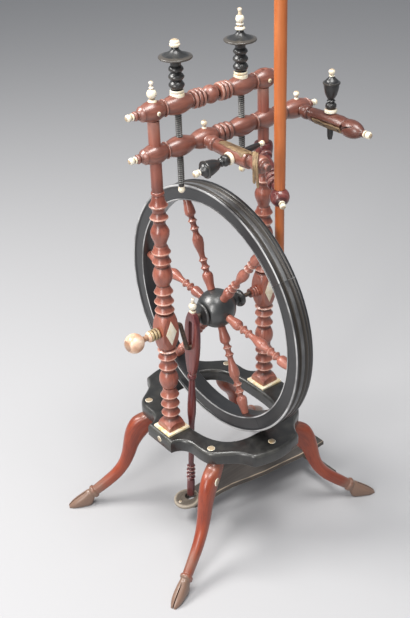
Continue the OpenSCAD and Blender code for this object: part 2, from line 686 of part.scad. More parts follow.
// Lower crossbar: the right end runs on past the upright to carry an arm
arm_tenon_r = 6;
lower_turning_bar = concat([[4.4, -upright_x - 32]], bead(-upright_x - 31, -upright_x - 26, 4.6, 2, 4),
  ease(-upright_x - 25, 6.2, -upright_x - 17.5, 10.8, 4),
  barrel(-upright_x - 17, -upright_x + 16, 10.6, bar_r),
  bead(-upright_x + 16.4, -screw_x - 22.4, 9.6, 2.6, 4),
  barrel(-screw_x - 21, -screw_x + 20, 10.6, bar_r),
  [[9.6, -screw_x + 21.5]], barrel(-screw_x + 23, arm_left_x + 22, 10.6, bar_r), [[9, arm_left_x + 23.5]],
  bead(arm_left_x + 24.5, arm_left_x + 30.5, 8.8, 4.6, 5), [[8.4, arm_left_x + 31.5]],
  bead(arm_left_x + 32.5, arm_left_x + 39, 8.6, 4.9, 5), [[8.4, arm_left_x + 40]],
  bead(arm_left_x + 41, screw_x - 23, 8.8, 4.4, 5), [[8.8, screw_x - 21.6]],
  barrel(screw_x - 20, screw_x + 21, 10.6, bar_r), bead(screw_x + 22.4, upright_x - 16.2, 9.6, 2.6, 4),
  barrel(upright_x - 15.8, upright_x + 21, 10.6, bar_r), [[9.4, upright_x + 22.4]],
  bead(upright_x + 23, upright_x + 29, 9, 4, 5), [[8.6, upright_x + 30]],
  bead(upright_x + 31, upright_x + 37.4, 8.8, 4.6, 5), [[9, arm_right_x - 25.6]],
  barrel(arm_right_x - 24, arm_right_x + 20, 10.6, bar_r),
  ease(arm_right_x + 20.5, 10.6, arm_right_x + 24, 7, 3), [[5, arm_right_x + 25]],
  bead(arm_right_x + 25, arm_right_x + 29, 4.8, 2, 4), [[4.4, arm_right_x + 29.6]]);

// The left lock pin stands a little off the middle of its arm
function lock_x(x) = x < 0 ? x + 3.5 : x;

module lower_crossbar() color(c_wood) difference() {
  translate([0, 0, mother_z])
    along_x()
      turned(lower_turning_bar);
  for (sx = [-1, 1]) {
    translate([sx * upright_x, 0, mother_z - 30])
      cylinder(r = shaft_r + run_gap, h = 60);
    translate([sx * screw_x, 0, mother_z - 30])
      cylinder(r = screw_r + run_gap, h = 60);
  }
  for (x = [arm_left_x, arm_right_x]) {
    translate([lock_x(x), 0, mother_z + arm_tenon_r + 0.5])
      cylinder(r = 2.4 + fit_gap, h = 30);
    translate([x, -30, mother_z])
      rotate([-90, 0, 0])
        cylinder(r = arm_tenon_r + run_gap, h = 37);
    translate([x, -40, mother_z])
      rotate([-90, 0, 0])
        cylinder(r = 9.4, h = 40 - seat_cut + 1);
  }
}

module lower_crossbar_tips() color(c_bone) {
  translate([-upright_x - 32, 0, mother_z])
    rotate([0, -90, 0])
      bone_tip(4.8, 4.9);
  translate([arm_right_x + 29.6, 0, mother_z])
    rotate([0, 90, 0])
      bone_tip(4.8, 4.9);
}

module arm_lock_pins() color(c_bone)
  for (x = [arm_left_x, arm_right_x])
    translate([lock_x(x), 0, mother_z])
      turned(concat([[2.4, arm_tenon_r + 0.7], [2.4, bar_r + 0.3], [3.5, bar_r + 0.3], [3.3, bar_r + 1.5],
        [2.4, bar_r + 3]], ball(bar_r + 8.1, 4.4, bar_r + 4.4, bar_r + 12.5, 7)));

// Screw: plain shaft, three rings, saucer and neck, heights above the collar
screw_turning = concat([[screw_r, screw_low], [screw_r, knob_z + 0.3], [8.4, knob_z + 0.3]],
  flange(knob_z + 1, knob_z + 12, 7.4, 3.4), flange(knob_z + 12.4, knob_z + 22.8, 7.2, 3.6),
  flange(knob_z + 23.2, knob_z + 33, 7, 3.2),
  bez([7, knob_z + 33], [8, knob_z + 41], [12, knob_z + 42], [saucer_r - 0.6, knob_z + 42.8], 6),
  [[saucer_r, knob_z + 43.6], [saucer_r, knob_z + 44.6], [saucer_r - 0.8, knob_z + 45.4]],
  bez([saucer_r - 0.8, knob_z + 45.4], [17, knob_z + 47.4], [8, knob_z + 49], [5, knob_z + 55], 6),
  [[4.8, knob_z + 58]]);

module screw(sx) color(c_black)
  translate([sx * screw_x, 0, 0])
    turned(screw_turning);

// Bone ball under the end of a screw
module screw_ball()
  translate([0, 0, screw_low])
    mirror([0, 0, 1])
      turned(concat([[4.4, 0], [4.4, 1]], ball(5, 4.9, 2.6, 9.9, 7)));

module screw_left() screw(-1);
module screw_right() screw(1);

module screw_left_bone() color(c_bone)
  translate([-screw_x, 0, 0]) {
    screw_ball();
    translate([0, 0, knob_z + 58])
      turned([[6.4, 0], [7.2, 1.6], [7.2, 3.4], [6.2, 4.6], [6.6, 6], [5, 8.6], [2.4, 10]]);
  }

module screw_right_bone() color(c_bone)
  translate([screw_x, 0, 0]) {
    screw_ball();
    translate([0, 0, knob_z + 58])
      turned(concat([[6.6, 0], [7.2, 1.4], [6.6, 2.8], [4, 4], [3.4, 5.6]], bead(6, 9, 3.6, 1.8, 4),
        ball(14.4, 6, 10, 19.6, 8), [[2.6, 21.2], [2, 24]], ball(26.6, 3, 25, 29.6, 5)));
  }

// Arm along its own axis, z measured out from the middle of the lower crossbar
groove_r = 9.4;
arm_stem = concat([[arm_tenon_r, -6], [arm_tenon_r, seat_cut - 0.7], [8.6, seat_cut - 0.7], [8.6, 15.5]],
  bead(16.5, 29.5, 8, 2.6, 6), [[7.8, 31.5], [8.6, 33.5]], ease(34.5, 10, 84, arm_r, 7));
arm_nose = concat([[4.6, 136]], bead(136.4, 139.4, 4.6, 1, 4), [[4.4, 140]]);

// The left arm has a grooved end for its strap, the right one a plain swelling
arm_left_turning = concat(arm_stem, ease(90, arm_r + 0.3, 103, arm_r - 0.4, 3),
  [[groove_r, 104], [groove_r, 112]], barrel(113, 130, arm_r - 3, arm_r - 0.5, 6, 0.6),
  ease(130.5, arm_r - 4.6, 134, 5, 3), arm_nose);
arm_right_turning = concat(arm_stem, ease(90, arm_r + 0.2, 102, arm_r - 0.8, 3), [[11.4, 103.6]],
  bez([11.4, 103.6], [14, 108], [15.4, 124], [5.6, 134.4], 9), arm_nose);

// Flat for the leather on one side of an arm, and the hole for the peg
leather_d = 7.4;
leather_left = -20;
leather_right = -35;
peg_r = 4.5;

module arm_body(turning, peg_at, leather, flat_end) difference() {
  turned(turning);
  rotate([0, 0, leather])
    translate([leather_d, -20, 42])
      cube([30, 40, flat_end - 42]);
  rotate([90, 0, 0])
    translate([0, peg_at, -40])
      cylinder(r = peg_r + run_gap, h = 80);
}

// Frame of each arm: z out along -Y, x towards the leather, y towards the peg cap
module arm_left_place()
  translate([arm_left_x, 0, mother_z])
    rotate([90, 0, 0])
      rotate([0, 0, 90 + arm_left_turn])
        children();

module arm_right_place()
  translate([arm_right_x, 0, mother_z])
    rotate([90, 0, 0])
      rotate([0, 0, 180])
        mirror([0, 1, 0])
          children();

module arm_left() color(c_wood) arm_left_place() arm_body(arm_left_turning, peg_y, leather_left, 109.4);
module arm_right() color(c_wood)
  arm_right_place() arm_body(arm_right_turning, peg_right_y, leather_right, 106.2);

module leather_strip(peg_at, long, leather) difference() {
  rotate([0, 0, leather])
    translate([leather_d, -5.5, 43])
      cube([2.6, 11, long]);
  rotate([90, 0, 0])
    translate([0, peg_at, -40])
      cylinder(r = peg_r + 0.4, h = 80);
}

// Loose end of the left leather: over the top of the arm, then hanging on the left side.
// Angle round the arm, distance out along it and radius of each point
strap_lap = [[76, 100.5, 8.7], [76, 105.5, 8.9], [78, 108, 10.6], [83, 110.5, 12.4], [90, 112.8, 13.5],
  [98, 115.4, 13.9], [110, 118.5, 13.9], [125, 121.8, 13.9], [140, 124.6, 13.9], [155, 126.8, 13.9],
  [168, 128, 13.9], [180, 128.6, 13.9]];
strap_mid = concat([for (v = strap_lap) [v[2] * cos(v[0]), -v[1], v[2] * sin(v[0])]],
  [[-13.9, -129, -8], [-13.6, -129.2, -17], [-13.2, -129.4, -27]]);
strap_out = concat([for (v = strap_lap) [cos(v[0]), 0, sin(v[0])]], [for (i = [0:2]) [-1, 0, 0]]);

module strap() {
  n = len(strap_mid);
  rings = [for (i = [0:n - 1])
    let(t = strap_mid[min(n - 1, i + 1)] - strap_mid[max(0, i - 1)],
      w = cross(t, strap_out[i]) / norm(t) * 4.6, o = strap_out[i] * 1.1, m = strap_mid[i])
    [m + w - o, m - w - o, m - w + o, m + w + o]];
  translate([arm_left_x, 0, mother_z])
    loft(rings);
}

module arm_left_leather() color(c_hide) {
  arm_left_place() leather_strip(peg_y, 62.5, leather_left);
  strap();
}

module arm_right_leather() color(c_hide) arm_right_place() leather_strip(peg_right_y, 58, leather_right);

module arm_right_tip() color(c_bone)
  translate([arm_right_x, -140, mother_z])
    rotate([90, 0, 0])
      bone_tip(5, 5.2);

// Peg: z out from the middle of the arm, the cap end positive
function peg_turning(tail) = concat([[3.2, -arm_r - tail], [4.2, -arm_r - tail * 0.6],
  [peg_r, -arm_r - 2], [peg_r, arm_r + 6.2], [6.5, arm_r + 6.2]],
  bead(arm_r + 6.6, arm_r + 14, 5.6, 2.4, 6), flange(arm_r + 15, arm_r + 20, 4.6, 1.6, 4),
  bez([4.8, arm_r + 20.6], [8.6, arm_r + 25], [10.8, arm_r + 34], [11.2, arm_r + 42], 6),
  [[12.4, arm_r + 42.6], [12.5, arm_r + 43.6], [12.2, arm_r + 44.6]],
  bez([9.8, arm_r + 45.2], [9.4, arm_r + 48], [5, arm_r + 50], [3.4, arm_r + 53], 5));

peg_tail_left = 24;
peg_tail_right = 14;

module peg_body(tail) turned(peg_turning(tail));

module peg_bone_body() {
  difference() {
    translate([0, 0, arm_r + 0.3])
      turned([[8.6, 0], [9.2, 1.2], [9.2, 4], [8, 5.6]]);
    cylinder(r = peg_r + fit_gap, h = 60);
  }
  translate([0, 0, arm_r + 53])
    turned(concat([[4, 0], [4.4, 1.2], [3.2, 2]], ball(6, 4.7, 3, 10.7, 7)));
}

module peg_left_place()
  translate([arm_left_x, -peg_y, mother_z])
    rotate([0, -90 - arm_left_turn, 0])
      children();

module peg_right_place()
  translate([arm_right_x, -peg_right_y, mother_z])
    children();

module peg_left() color(c_black) peg_left_place() peg_body(peg_tail_left);
module peg_right() color(c_black) peg_right_place() peg_body(peg_tail_right);

module peg_left_bone() color(c_bone) peg_left_place() {
  peg_bone_body();
  translate([0, 0, -arm_r - peg_tail_left])
    mirror([0, 0, 1])
      turned(concat([[3, 0], [3.4, 1], [2.6, 1.8]], ball(5.4, 4, 3, 9.4, 7)));
}

module peg_right_bone() color(c_bone) peg_right_place() peg_bone_body();

// Distaff: a collar on the right upright, a turned arm and a ball that holds the pole
collar_low = bead_z + 3.6;
collar_z = collar_low + 10;
ball_at = [pole_x, pole_y, pole_ball_z];
root_at = [upright_x, 0, collar_z];
reach = norm(ball_at - root_at);
pole_r = 6.7;

module arm_axis() {
  d = ball_at - root_at;
  translate(root_at)
    rotate([0, acos(d[2] / reach), atan2(d[1], d[0])])
      children();
}

module distaff_arm() color(c_wood) difference() {
  union() {
    translate([upright_x, 0, collar_low])
      turned(concat([[11, 0], [13, 1.4]], barrel(1.6, 18.4, 13, 14.4, 6), [[13, 18.6], [11, 20]]));
    arm_axis()
      turned(concat([[6, 4], [6.5, 15]], bead(16, 24, 6.4, 3, 5), ease(25, 6, 50, 8, 5), [[6.6, 54]],
        bead(reach - 57, reach - 49, 7, 3.4, 5), [[7, reach - 48]],
        bead(reach - 47, reach - 38, 7.4, 4, 5), [[7.4, reach - 37]],
        bead(reach - 36, reach - 27, 7.6, 4.2, 5), [[7.4, reach - 25], [6.8, reach - 18], [6.2, reach - 13]],
        ball(reach, 14, reach - 12.6, reach + 12.8, 12), [[4.6, reach + 14]]));
  }
  translate([upright_x, 0, collar_low - 20])
    cylinder(r = shaft_r + run_gap, h = 60);
  translate([pole_x, pole_y, pole_ball_z - 40])
    cylinder(r = pole_r + run_gap, h = 80);
}

module distaff_arm_tip() color(c_bone)
  arm_axis()
    translate([0, 0, reach + 14])
      bone_tip(4.4, 4.6);

module distaff_pole() color(c_pole)
  translate([pole_x, pole_y, 0])
    turned([[5, 480], [pole_r - 0.4, 484], [pole_r, 500], [pole_r, pole_ball_z + 12.8],
      [7.8, pole_ball_z + 12.8], [8.2, pole_ball_z + 112], [8.5, pole_top - 130], [8.5, pole_top - 5], [7, pole_top - 1.4],
      [4, pole_top]]);

platform();
leg_front_left();
leg_front_right();
leg_back_left();
leg_back_right();
bone_studs();
base_plates();
upright_left();
upright_right();
diamond_inlays();
top_crossbar();
top_crossbar_tips();
upright_finial();
tenon_pins();
screw_collars();
axle_bush();
rim_felloe_1();
rim_felloe_2();
rim_felloe_3();
rim_felloe_4();
spoke_1();
spoke_2();
spoke_3();
spoke_4();
spoke_5();
spoke_6();
hub();
crank_axle();
footman();
footman_finial();
treadle_board();
treadle_disc();
treadle_pin();
treadle_rod();
lower_crossbar();
lower_crossbar_tips();
arm_lock_pins();
screw_left();
screw_left_bone();
screw_right();
screw_right_bone();
arm_left();
arm_left_leather();
peg_left();
peg_left_bone();
arm_right();
arm_right_tip();
arm_right_leather();
peg_right();
peg_right_bone();
distaff_arm();
distaff_arm_tip();
distaff_pole();
pivot_screw();
pivot_ball();
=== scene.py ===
import json
import math

import bmesh
import bpy
from mathutils import Matrix, Vector

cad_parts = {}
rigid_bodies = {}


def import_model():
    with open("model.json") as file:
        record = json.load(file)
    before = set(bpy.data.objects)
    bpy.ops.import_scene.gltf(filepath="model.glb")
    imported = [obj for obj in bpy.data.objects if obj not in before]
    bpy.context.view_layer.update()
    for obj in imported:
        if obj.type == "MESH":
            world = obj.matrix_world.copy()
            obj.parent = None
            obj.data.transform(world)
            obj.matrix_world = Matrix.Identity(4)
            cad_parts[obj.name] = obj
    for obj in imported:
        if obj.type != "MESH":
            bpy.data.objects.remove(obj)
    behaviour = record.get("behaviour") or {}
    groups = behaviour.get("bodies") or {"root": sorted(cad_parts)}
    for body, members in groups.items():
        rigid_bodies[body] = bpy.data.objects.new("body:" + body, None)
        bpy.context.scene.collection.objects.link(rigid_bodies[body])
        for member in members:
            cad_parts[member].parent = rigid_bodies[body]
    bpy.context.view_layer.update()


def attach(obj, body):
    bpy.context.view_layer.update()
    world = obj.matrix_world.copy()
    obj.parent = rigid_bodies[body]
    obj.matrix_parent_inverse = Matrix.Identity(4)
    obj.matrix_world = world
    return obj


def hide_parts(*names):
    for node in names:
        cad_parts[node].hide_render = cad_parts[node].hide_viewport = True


for left_over in list(bpy.data.objects):
    bpy.data.objects.remove(left_over)

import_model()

# Sizes in millimetres and angles in degrees, most of them the same as in the part's source
MM = 0.001
AXLE = 380
RIM_IN = 175
HUB_R = 30.5
AXLE_R = 3.5
TABLE_TOP = 199
TABLE_LOW = 177
TABLE_ROUND = 6.5
OPENING = (72, 95)
FOOT = 203
BLOCK_LOW = 351
BLOCK_TOP = 409
BLOCK = 27.7
UPRIGHT = 96
RING = 14.6
NECK = 10.3
SHAFT = 8.25
TOP_BAR = 720
MOTHER = 660
BAR = 14
BAR_END = 32
SCREW_X = 55
SCREW_R = 5
SCREW_LOW = 600
SCREW_LEAD = 6.0
COLLAR_R = 10
COLLAR_H = 9
KNOB = 740
SAUCER = 23
ARM_LEFT = -15
ARM_RIGHT = 160
ARM_R = 12.9
ARM_FLAT = 7.4
PEG_LEFT = 77
PEG_RIGHT = 72
POLE = (40, -99)
POLE_BALL = 588
POLE_TOP = 930
BRACKET = 605.6
PIN_X = -49
PIN_Z = 330
PIVOT_END = 126
TREADLE = (157, 36)
BOARD = (7, 17)
SLOT_R = 8.6
SLOT_HALF = 1.8
TILT = 4.5
SPOKE_PHASE = -22
JOINT_PHASE = 54
JOINT_GAP = 0.06

# Room round what turns or slides in a bore
SCREW_ROOM = 0.3
SHAFT_ROOM = 0.15
AXLE_ROOM = 0.1


# Places: turns and shifts of a piece from its own axis to the frame

def shift(x, y, z):
    return Matrix.Translation((x * MM, y * MM, z * MM))


def turn_x(angle):
    return Matrix.Rotation(math.radians(angle), 4, "X")


def turn_y(angle):
    return Matrix.Rotation(math.radians(angle), 4, "Y")


def turn_z(angle):
    return Matrix.Rotation(math.radians(angle), 4, "Z")


HOME = Matrix.Identity(4)
FLIP_Y = Matrix.Scale(-1, 4, (0, 1, 0))
FLIP_X = Matrix.Scale(-1, 4, (1, 0, 0))
FLIP_Z = Matrix.Scale(-1, 4, (0, 0, 1))


# Lathe outlines: lists of (radius, height) in millimetres

BLUNT = 0.96


def s_curve(t):
    """From 0 to 1, slow at both ends."""
    return (1 - math.cos(math.pi * t)) / 2


def profile(z0, z1, n, radius):
    """Points at even heights, with the radius that belongs to each share of the way."""
    return [(radius(i / n), z0 + (z1 - z0) * i / n) for i in range(n + 1)]


def bead(z0, z1, r, h, n=10):
    return [(r + h * math.sin(math.pi * i / n), z0 + (z1 - z0) * s_curve(i / n)) for i in range(n + 1)]


def ease(z0, r0, z1, r1, n=10):
    return profile(z0, z1, n, lambda t: r0 + (r1 - r0) * s_curve(t))


def flange(z0, z1, r, h, n=20):
    """A turned disc with hollow flanks and a sharp edge."""
    return profile(z0, z1, n, lambda t: r + h * min(BLUNT, 1 - abs(2 * t - 1)) ** 1.9 / 0.925)


def disc(z0, z1, r, h, n=16):
    """A turned disc with a rounded edge."""
    return profile(z0, z1, n, lambda t: r + h * (1 - abs(2 * t - 1) ** 1.8) ** 1.1)


def saucer(z0, z1, r, h, n=20):
    """A turned disc with its sharp edge low down, hollow above and undercut below."""
    def rise(t):
        return t / 0.4 if t < 0.4 else (1 - t) / 0.6

    return profile(z0, z1, n, lambda t: r + h * min(BLUNT, rise(t)) ** 1.5 / 0.94)


def barrel(z0, z1, r0, r1, n=18, power=0.75):
    return profile(z0, z1, n, lambda t: r0 + (r1 - r0) * math.sin(math.pi * t) ** power if 0 < t < 1 else r0)


def bend(a, b, c, d, n=12):
    """A smooth bend from a to d, pulled towards b and c."""
    return [tuple(p * (1 - t) ** 3 + 3 * q * t * (1 - t) ** 2 + 3 * u * t * t * (1 - t) + v * t ** 3
                  for p, q, u, v in zip(a, b, c, d)) for t in (i / n for i in range(n + 1))]


def ball(zc, r, z0, z1, n=14):
    a0 = math.asin(max(-1, min(1, (z0 - zc) / r)))
    a1 = math.asin(max(-1, min(1, (z1 - zc) / r)))
    return [(max(0, r * math.cos(a0 + (a1 - a0) * i / n)), zc + r * math.sin(a0 + (a1 - a0) * i / n))
            for i in range(n + 1)]


def flip(outline):
    return [(r, -z) for r, z in reversed(outline)]


def closed_outline(outline):
    """The outline without repeated points, brought to the axis at both ends."""
    kept = []
    for r, z in outline:
        if not kept or math.hypot(r - kept[-1][0], z - kept[-1][1]) > 0.02:
            kept.append((max(0, r), z))
    if kept[0][0] > 0.02:
        kept.insert(0, (0, kept[0][1]))
    if kept[-1][0] > 0.02:
        kept.append((0, kept[-1][1]))
    return kept


def height_above_neighbours(outline, reach=5.0):
    """How far each point of an outline stands out (+) or lies in a groove (-), from -1 to 1."""
    stands = []
    for r, z in outline:
        near = [(abs(b[1] - a[1]) + 0.05, (a[0] + b[0]) / 2) for a, b in zip(outline, outline[1:])
                if abs((a[1] + b[1]) / 2 - z) < reach]
        weight = sum(w for w, _ in near) or 1
        mean = sum(w * m for w, m in near) / weight if near else r
        stands.append(max(-1, min(1, (r - mean) / 2.2)))
    return stands


# Bodies: each is made in its own bmesh, marked with its grain, and joined into a piece

def layers(bm):
    return (bm.verts.layers.float_vector.get("grain") or bm.verts.layers.float_vector.new("grain"),
            bm.verts.layers.float.get("crest") or bm.verts.layers.float.new("crest"))


def mark(bm, place=HOME, crest=None, offset=0.0, flow=None):
    """Grain runs along the body's own z axis, or along its flow; crest says where it is worn and lit with a painted
    highlight, or soiled and darkened with painted shade.
    """
    grain, worn = layers(bm)
    bm.normal_update()
    for v in bm.verts:
        v[grain] = (flow(v.co) if flow else v.co) + Vector((offset, offset * 0.7, offset * 1.3))
        v[worn] = crest(v) if crest else edge_sharpness(v)
    bmesh.ops.transform(bm, matrix=place, verts=bm.verts)
    return bm


def edge_sharpness(v):
    """Roughly how sharp the mesh is at a vertex, 0 on a flat and up to 1 on an edge."""
    if not v.link_edges:
        return 0.0
    lean = [v.normal.dot((e.other_vert(v).co - v.co).normalized()) for e in v.link_edges]
    return max(-1.0, min(1.0, -2.2 * sum(lean) / len(lean)))


def open_line(bm, points):
    line = [bm.verts.new((r * MM, 0, z * MM)) for r, z in points]
    return line + [bm.edges.new(pair) for pair in zip(line, line[1:])]


def swing(bm, geom, axis, angle, steps, rise=0.0, close=False):
    """Spins an outline about an axis through the origin, lifting it at each step if asked."""
    return bmesh.ops.spin(bm, geom=geom, axis=axis, cent=(0, 0, 0), dvec=(0, 0, rise), angle=angle, steps=steps,
                          use_merge=close, use_normal_flip=False, use_duplicate=False)


def merge(bm):
    bmesh.ops.remove_doubles(bm, verts=bm.verts, dist=2e-6)
    bmesh.ops.recalc_face_normals(bm, faces=bm.faces)


def lathe(outline, place=HOME, steps=64, cut=None, offset=0.0, reach=5.0, shade_inside_cuts=False):
    """A turned body. cut may be a function that works on the bmesh before it is set in place."""
    points = closed_outline(outline)
    stand = height_above_neighbours(points, reach)
    bm = bmesh.new()
    swing(bm, open_line(bm, points), (0, 0, 1), 2 * math.pi, steps, close=True)
    merge(bm)
    if cut:
        bm = cut(bm) or bm
    known = {}

    def crest(v):
        away, high = math.hypot(v.co.x, v.co.y), v.co.z
        spot = round(away, 5), round(high, 5)
        if spot not in known:
            r, z = away / MM, high / MM
            k = min(range(len(points)), key=lambda i: abs(points[i][1] - z) + 0.5 * abs(points[i][0] - r))
            # Faces cut into the body (holes, flats, the split) count as deep grooves and take the soil colour: painted
            # shade inside the cuts.
            known[spot] = -1.0 if shade_inside_cuts and points[k][0] - r > 1 else stand[k]
        return known[spot]

    return mark(bm, place, crest, offset)


def slice_square(side):
    """Cuts a turned body down to a square of that side about its axis."""
    def cut(bm):
        for axis in ((1, 0, 0), (-1, 0, 0), (0, 1, 0), (0, -1, 0)):
            n = Vector(axis)
            done = bmesh.ops.bisect_plane(bm, geom=bm.verts[:] + bm.edges[:] + bm.faces[:], dist=1e-7,
                                          plane_co=n * side / 2 * MM, plane_no=n, clear_outer=True)
            rim = [e for e in done["geom_cut"] if isinstance(e, bmesh.types.BMEdge)]
            if rim:
                bmesh.ops.holes_fill(bm, edges=rim, sides=0)
    return cut


def carve(*cutters):
    """Takes the cutter bodies out of a body."""
    def cut(bm):
        whole = lay_out("carved", bm)
        for k, cutter in enumerate(cutters):
            tool = lay_out("tool%d" % k, cutter())
            step = whole.modifiers.new("cut", "BOOLEAN")
            step.operation = "DIFFERENCE"
            step.solver = "EXACT"
            step.object = tool
        bpy.context.view_layer.update()
        shaped = bpy.data.meshes.new_from_object(whole.evaluated_get(bpy.context.evaluated_depsgraph_get()))
        tools = [m.object for m in whole.modifiers]
        bpy.data.objects.remove(whole)
        for tool in tools:
            bpy.data.objects.remove(tool)
        fresh = bmesh.new()
        fresh.from_mesh(shaped)
        bpy.data.meshes.remove(shaped)
        return fresh
    return cut


def lay_out(name, bm):
    mesh = bpy.data.meshes.new(name)
    bm.to_mesh(mesh)
    bm.free()
    thing = bpy.data.objects.new(name, mesh)
    bpy.context.scene.collection.objects.link(thing)
    return thing


def drill(radius, z0, z1, place=HOME):
    """A round cutter along its own z axis."""
    def make():
        bm = bmesh.new()
        bmesh.ops.create_cone(bm, cap_ends=True, segments=40, radius1=radius * MM, radius2=radius * MM,
                              depth=(z1 - z0) * MM, matrix=place @ shift(0, 0, (z0 + z1) / 2))
        return bm
    return make


def box_cutter(low, high, place=HOME):
    """A box cutter between two corners."""
    def make():
        bm = bmesh.new()
        size = [(b - a) * MM for a, b in zip(low, high)]
        middle = [(a + b) / 2 for a, b in zip(low, high)]
        bmesh.ops.create_cube(bm, size=1, matrix=place @ shift(*middle) @ Matrix.Diagonal((*size, 1)))
        return bm
    return make


def first_loop(bm, ring):
    loop = [bm.verts.new(p) for p in ring]
    for a, b in zip(loop, loop[1:] + loop[:1]):
        bm.edges.new((a, b))
    return loop


def loop_edges(bm, loop):
    return [bm.edges.get((a, b)) for a, b in zip(loop, loop[1:] + loop[:1])]


def draw_out(bm, loop, rings):
    """Extrudes a closed loop of vertices again and again, each time onto the next ring of points."""
    for ring in rings:
        grown = bmesh.ops.extrude_edge_only(bm, edges=loop_edges(bm, loop))["geom"]
        fresh = {g for g in grown if isinstance(g, bmesh.types.BMVert)}
        loop = [next(e.other_vert(v) for e in v.link_edges if e.other_vert(v) in fresh) for v in loop]
        for v, point in zip(loop, ring):
            v.co = point
    return loop


def skin(rings):
    """A body drawn over a row of rings of points, closed at both ends."""
    bm = bmesh.new()
    loop = first_loop(bm, rings[0])
    bm.faces.new(loop)
    bm.faces.new(draw_out(bm, loop, rings[1:]))
    bmesh.ops.recalc_face_normals(bm, faces=bm.faces)
    return bm


def slab(outline, z0, z1, rounded=1.0, segments=3, hole=None):
    """A flat body from an outline in millimetres, its edges rounded, with a hole if one is given."""
    bm = bmesh.new()
    loop = first_loop(bm, [(x * MM, y * MM, z0 * MM) for x, y in outline])
    if hole:
        first_loop(bm, [(x * MM, y * MM, z0 * MM) for x, y in hole])
        bmesh.ops.triangle_fill(bm, edges=bm.edges[:], use_beauty=True)
    else:
        bm.faces.new(loop)
    grown = bmesh.ops.extrude_face_region(bm, geom=bm.faces[:])["geom"]
    top = [g for g in grown if isinstance(g, bmesh.types.BMVert)]
    bmesh.ops.translate(bm, verts=top, vec=(0, 0, (z1 - z0) * MM))
    bmesh.ops.recalc_face_normals(bm, faces=bm.faces)
    if rounded:
        bm.normal_update()
        rim = [e for e in bm.edges if len(e.link_faces) == 2 and e.calc_face_angle(0) > 0.9
               and abs(e.verts[0].co.z - e.verts[1].co.z) < 1e-6]
        bmesh.ops.bevel(bm, geom=rim, offset=rounded * MM, offset_type="OFFSET", segments=segments, profile=0.5,
                        affect="EDGES", material=-1, clamp_overlap=True)
    return bm


def piece(name, bodies, finish, body, *nodes, sharp=40, rounds=0):
    """Joins the bodies into one piece that rides on a CAD body and stands for its CAD nodes."""
    bm = bmesh.new()
    layers(bm)
    for part in bodies:
        mesh = bpy.data.meshes.new(name)
        part.to_mesh(mesh)
        part.free()
        bm.from_mesh(mesh)
        bpy.data.meshes.remove(mesh)
    bmesh.ops.recalc_face_normals(bm, faces=bm.faces)
    mesh = bpy.data.meshes.new(name)
    bm.to_mesh(mesh)
    bm.free()
    mesh.polygons.foreach_set("use_smooth", [True] * len(mesh.polygons))
    mesh.set_sharp_from_angle(angle=math.radians(sharp))
    mesh.materials.append(FINISHES[finish][0])
    thing = bpy.data.objects.new(name, mesh)
    bpy.context.scene.collection.objects.link(thing)
    if rounds:
        soft = thing.modifiers.new("rounding", "SUBSURF")
        soft.levels = rounds
        soft.render_levels = rounds
    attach(thing, body)
    if nodes:
        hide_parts(*nodes)
    return thing


# Finishes

def shader(name):
    finish = bpy.data.materials.new(name)
    finish.use_nodes = True
    tree = finish.node_tree
    return finish, tree, tree.nodes["Principled BSDF"]


def add(tree, kind, **values):
    made = tree.nodes.new(kind)
    for key, value in values.items():
        if key in made.inputs:
            made.inputs[key].default_value = value
        else:
            setattr(made, key, value)
    return made


def noise(tree, source, stretch, detail=4.0, rough=0.55, twist=0.0):
    """Noise on a vector, stretched: a larger number is finer."""
    scale = add(tree, "ShaderNodeMapping", Scale=stretch)
    tree.links.new(source, scale.inputs["Vector"])
    made = add(tree, "ShaderNodeTexNoise", Scale=1.0, Detail=detail, Roughness=rough, Distortion=twist)
    tree.links.new(scale.outputs["Vector"], made.inputs["Vector"])
    return made.outputs["Fac"]


def span(tree, value, a, b, lo=0.0, hi=1.0):
    """Brings a value smoothly from the span a to b into lo to hi."""
    made = add(tree, "ShaderNodeMapRange", interpolation_type="SMOOTHSTEP")
    for socket, number in (("From Min", a), ("From Max", b), ("To Min", lo), ("To Max", hi)):
        made.inputs[socket].default_value = number
    tree.links.new(value, made.inputs["Value"])
    return made.outputs["Result"]


def combine(tree, a, b, how="MULTIPLY"):
    made = add(tree, "ShaderNodeMath", operation=how, use_clamp=True)
    tree.links.new(a, made.inputs[0])
    if isinstance(b, (int, float)):
        made.inputs[1].default_value = b
    else:
        tree.links.new(b, made.inputs[1])
    return made.outputs[0]


def cover(tree, amount, under, colour):
    """Lays a plain colour over another, by an amount that varies."""
    made = add(tree, "ShaderNodeMix", data_type="RGBA", blend_type="MIX")
    tree.links.new(amount, made.inputs[0])
    tree.links.new(under, made.inputs[6])
    made.inputs[7].default_value = (*colour, 1.0)
    return made.outputs[2]


def ramp(tree, value, stops):
    made = add(tree, "ShaderNodeValToRGB")
    bar = made.color_ramp
    while len(bar.elements) < len(stops):
        bar.elements.new(0.5)
    for element, (place, colour) in zip(bar.elements, stops):
        element.position = place
        element.color = (*colour, 1.0)
    tree.links.new(value, made.inputs["Fac"])
    return made.outputs["Color"]


def relief(tree, bsdf, height, strength, depth):
    bump = add(tree, "ShaderNodeBump", Strength=strength, Distance=depth)
    tree.links.new(height, bump.inputs["Height"])
    tree.links.new(bump.outputs["Normal"], bsdf.inputs["Normal"])


def own(tree, name):
    """A value kept on the piece's own vertices."""
    made = add(tree, "ShaderNodeAttribute", attribute_name=name)
    return made.outputs["Vector"] if name == "grain" else made.outputs["Fac"]


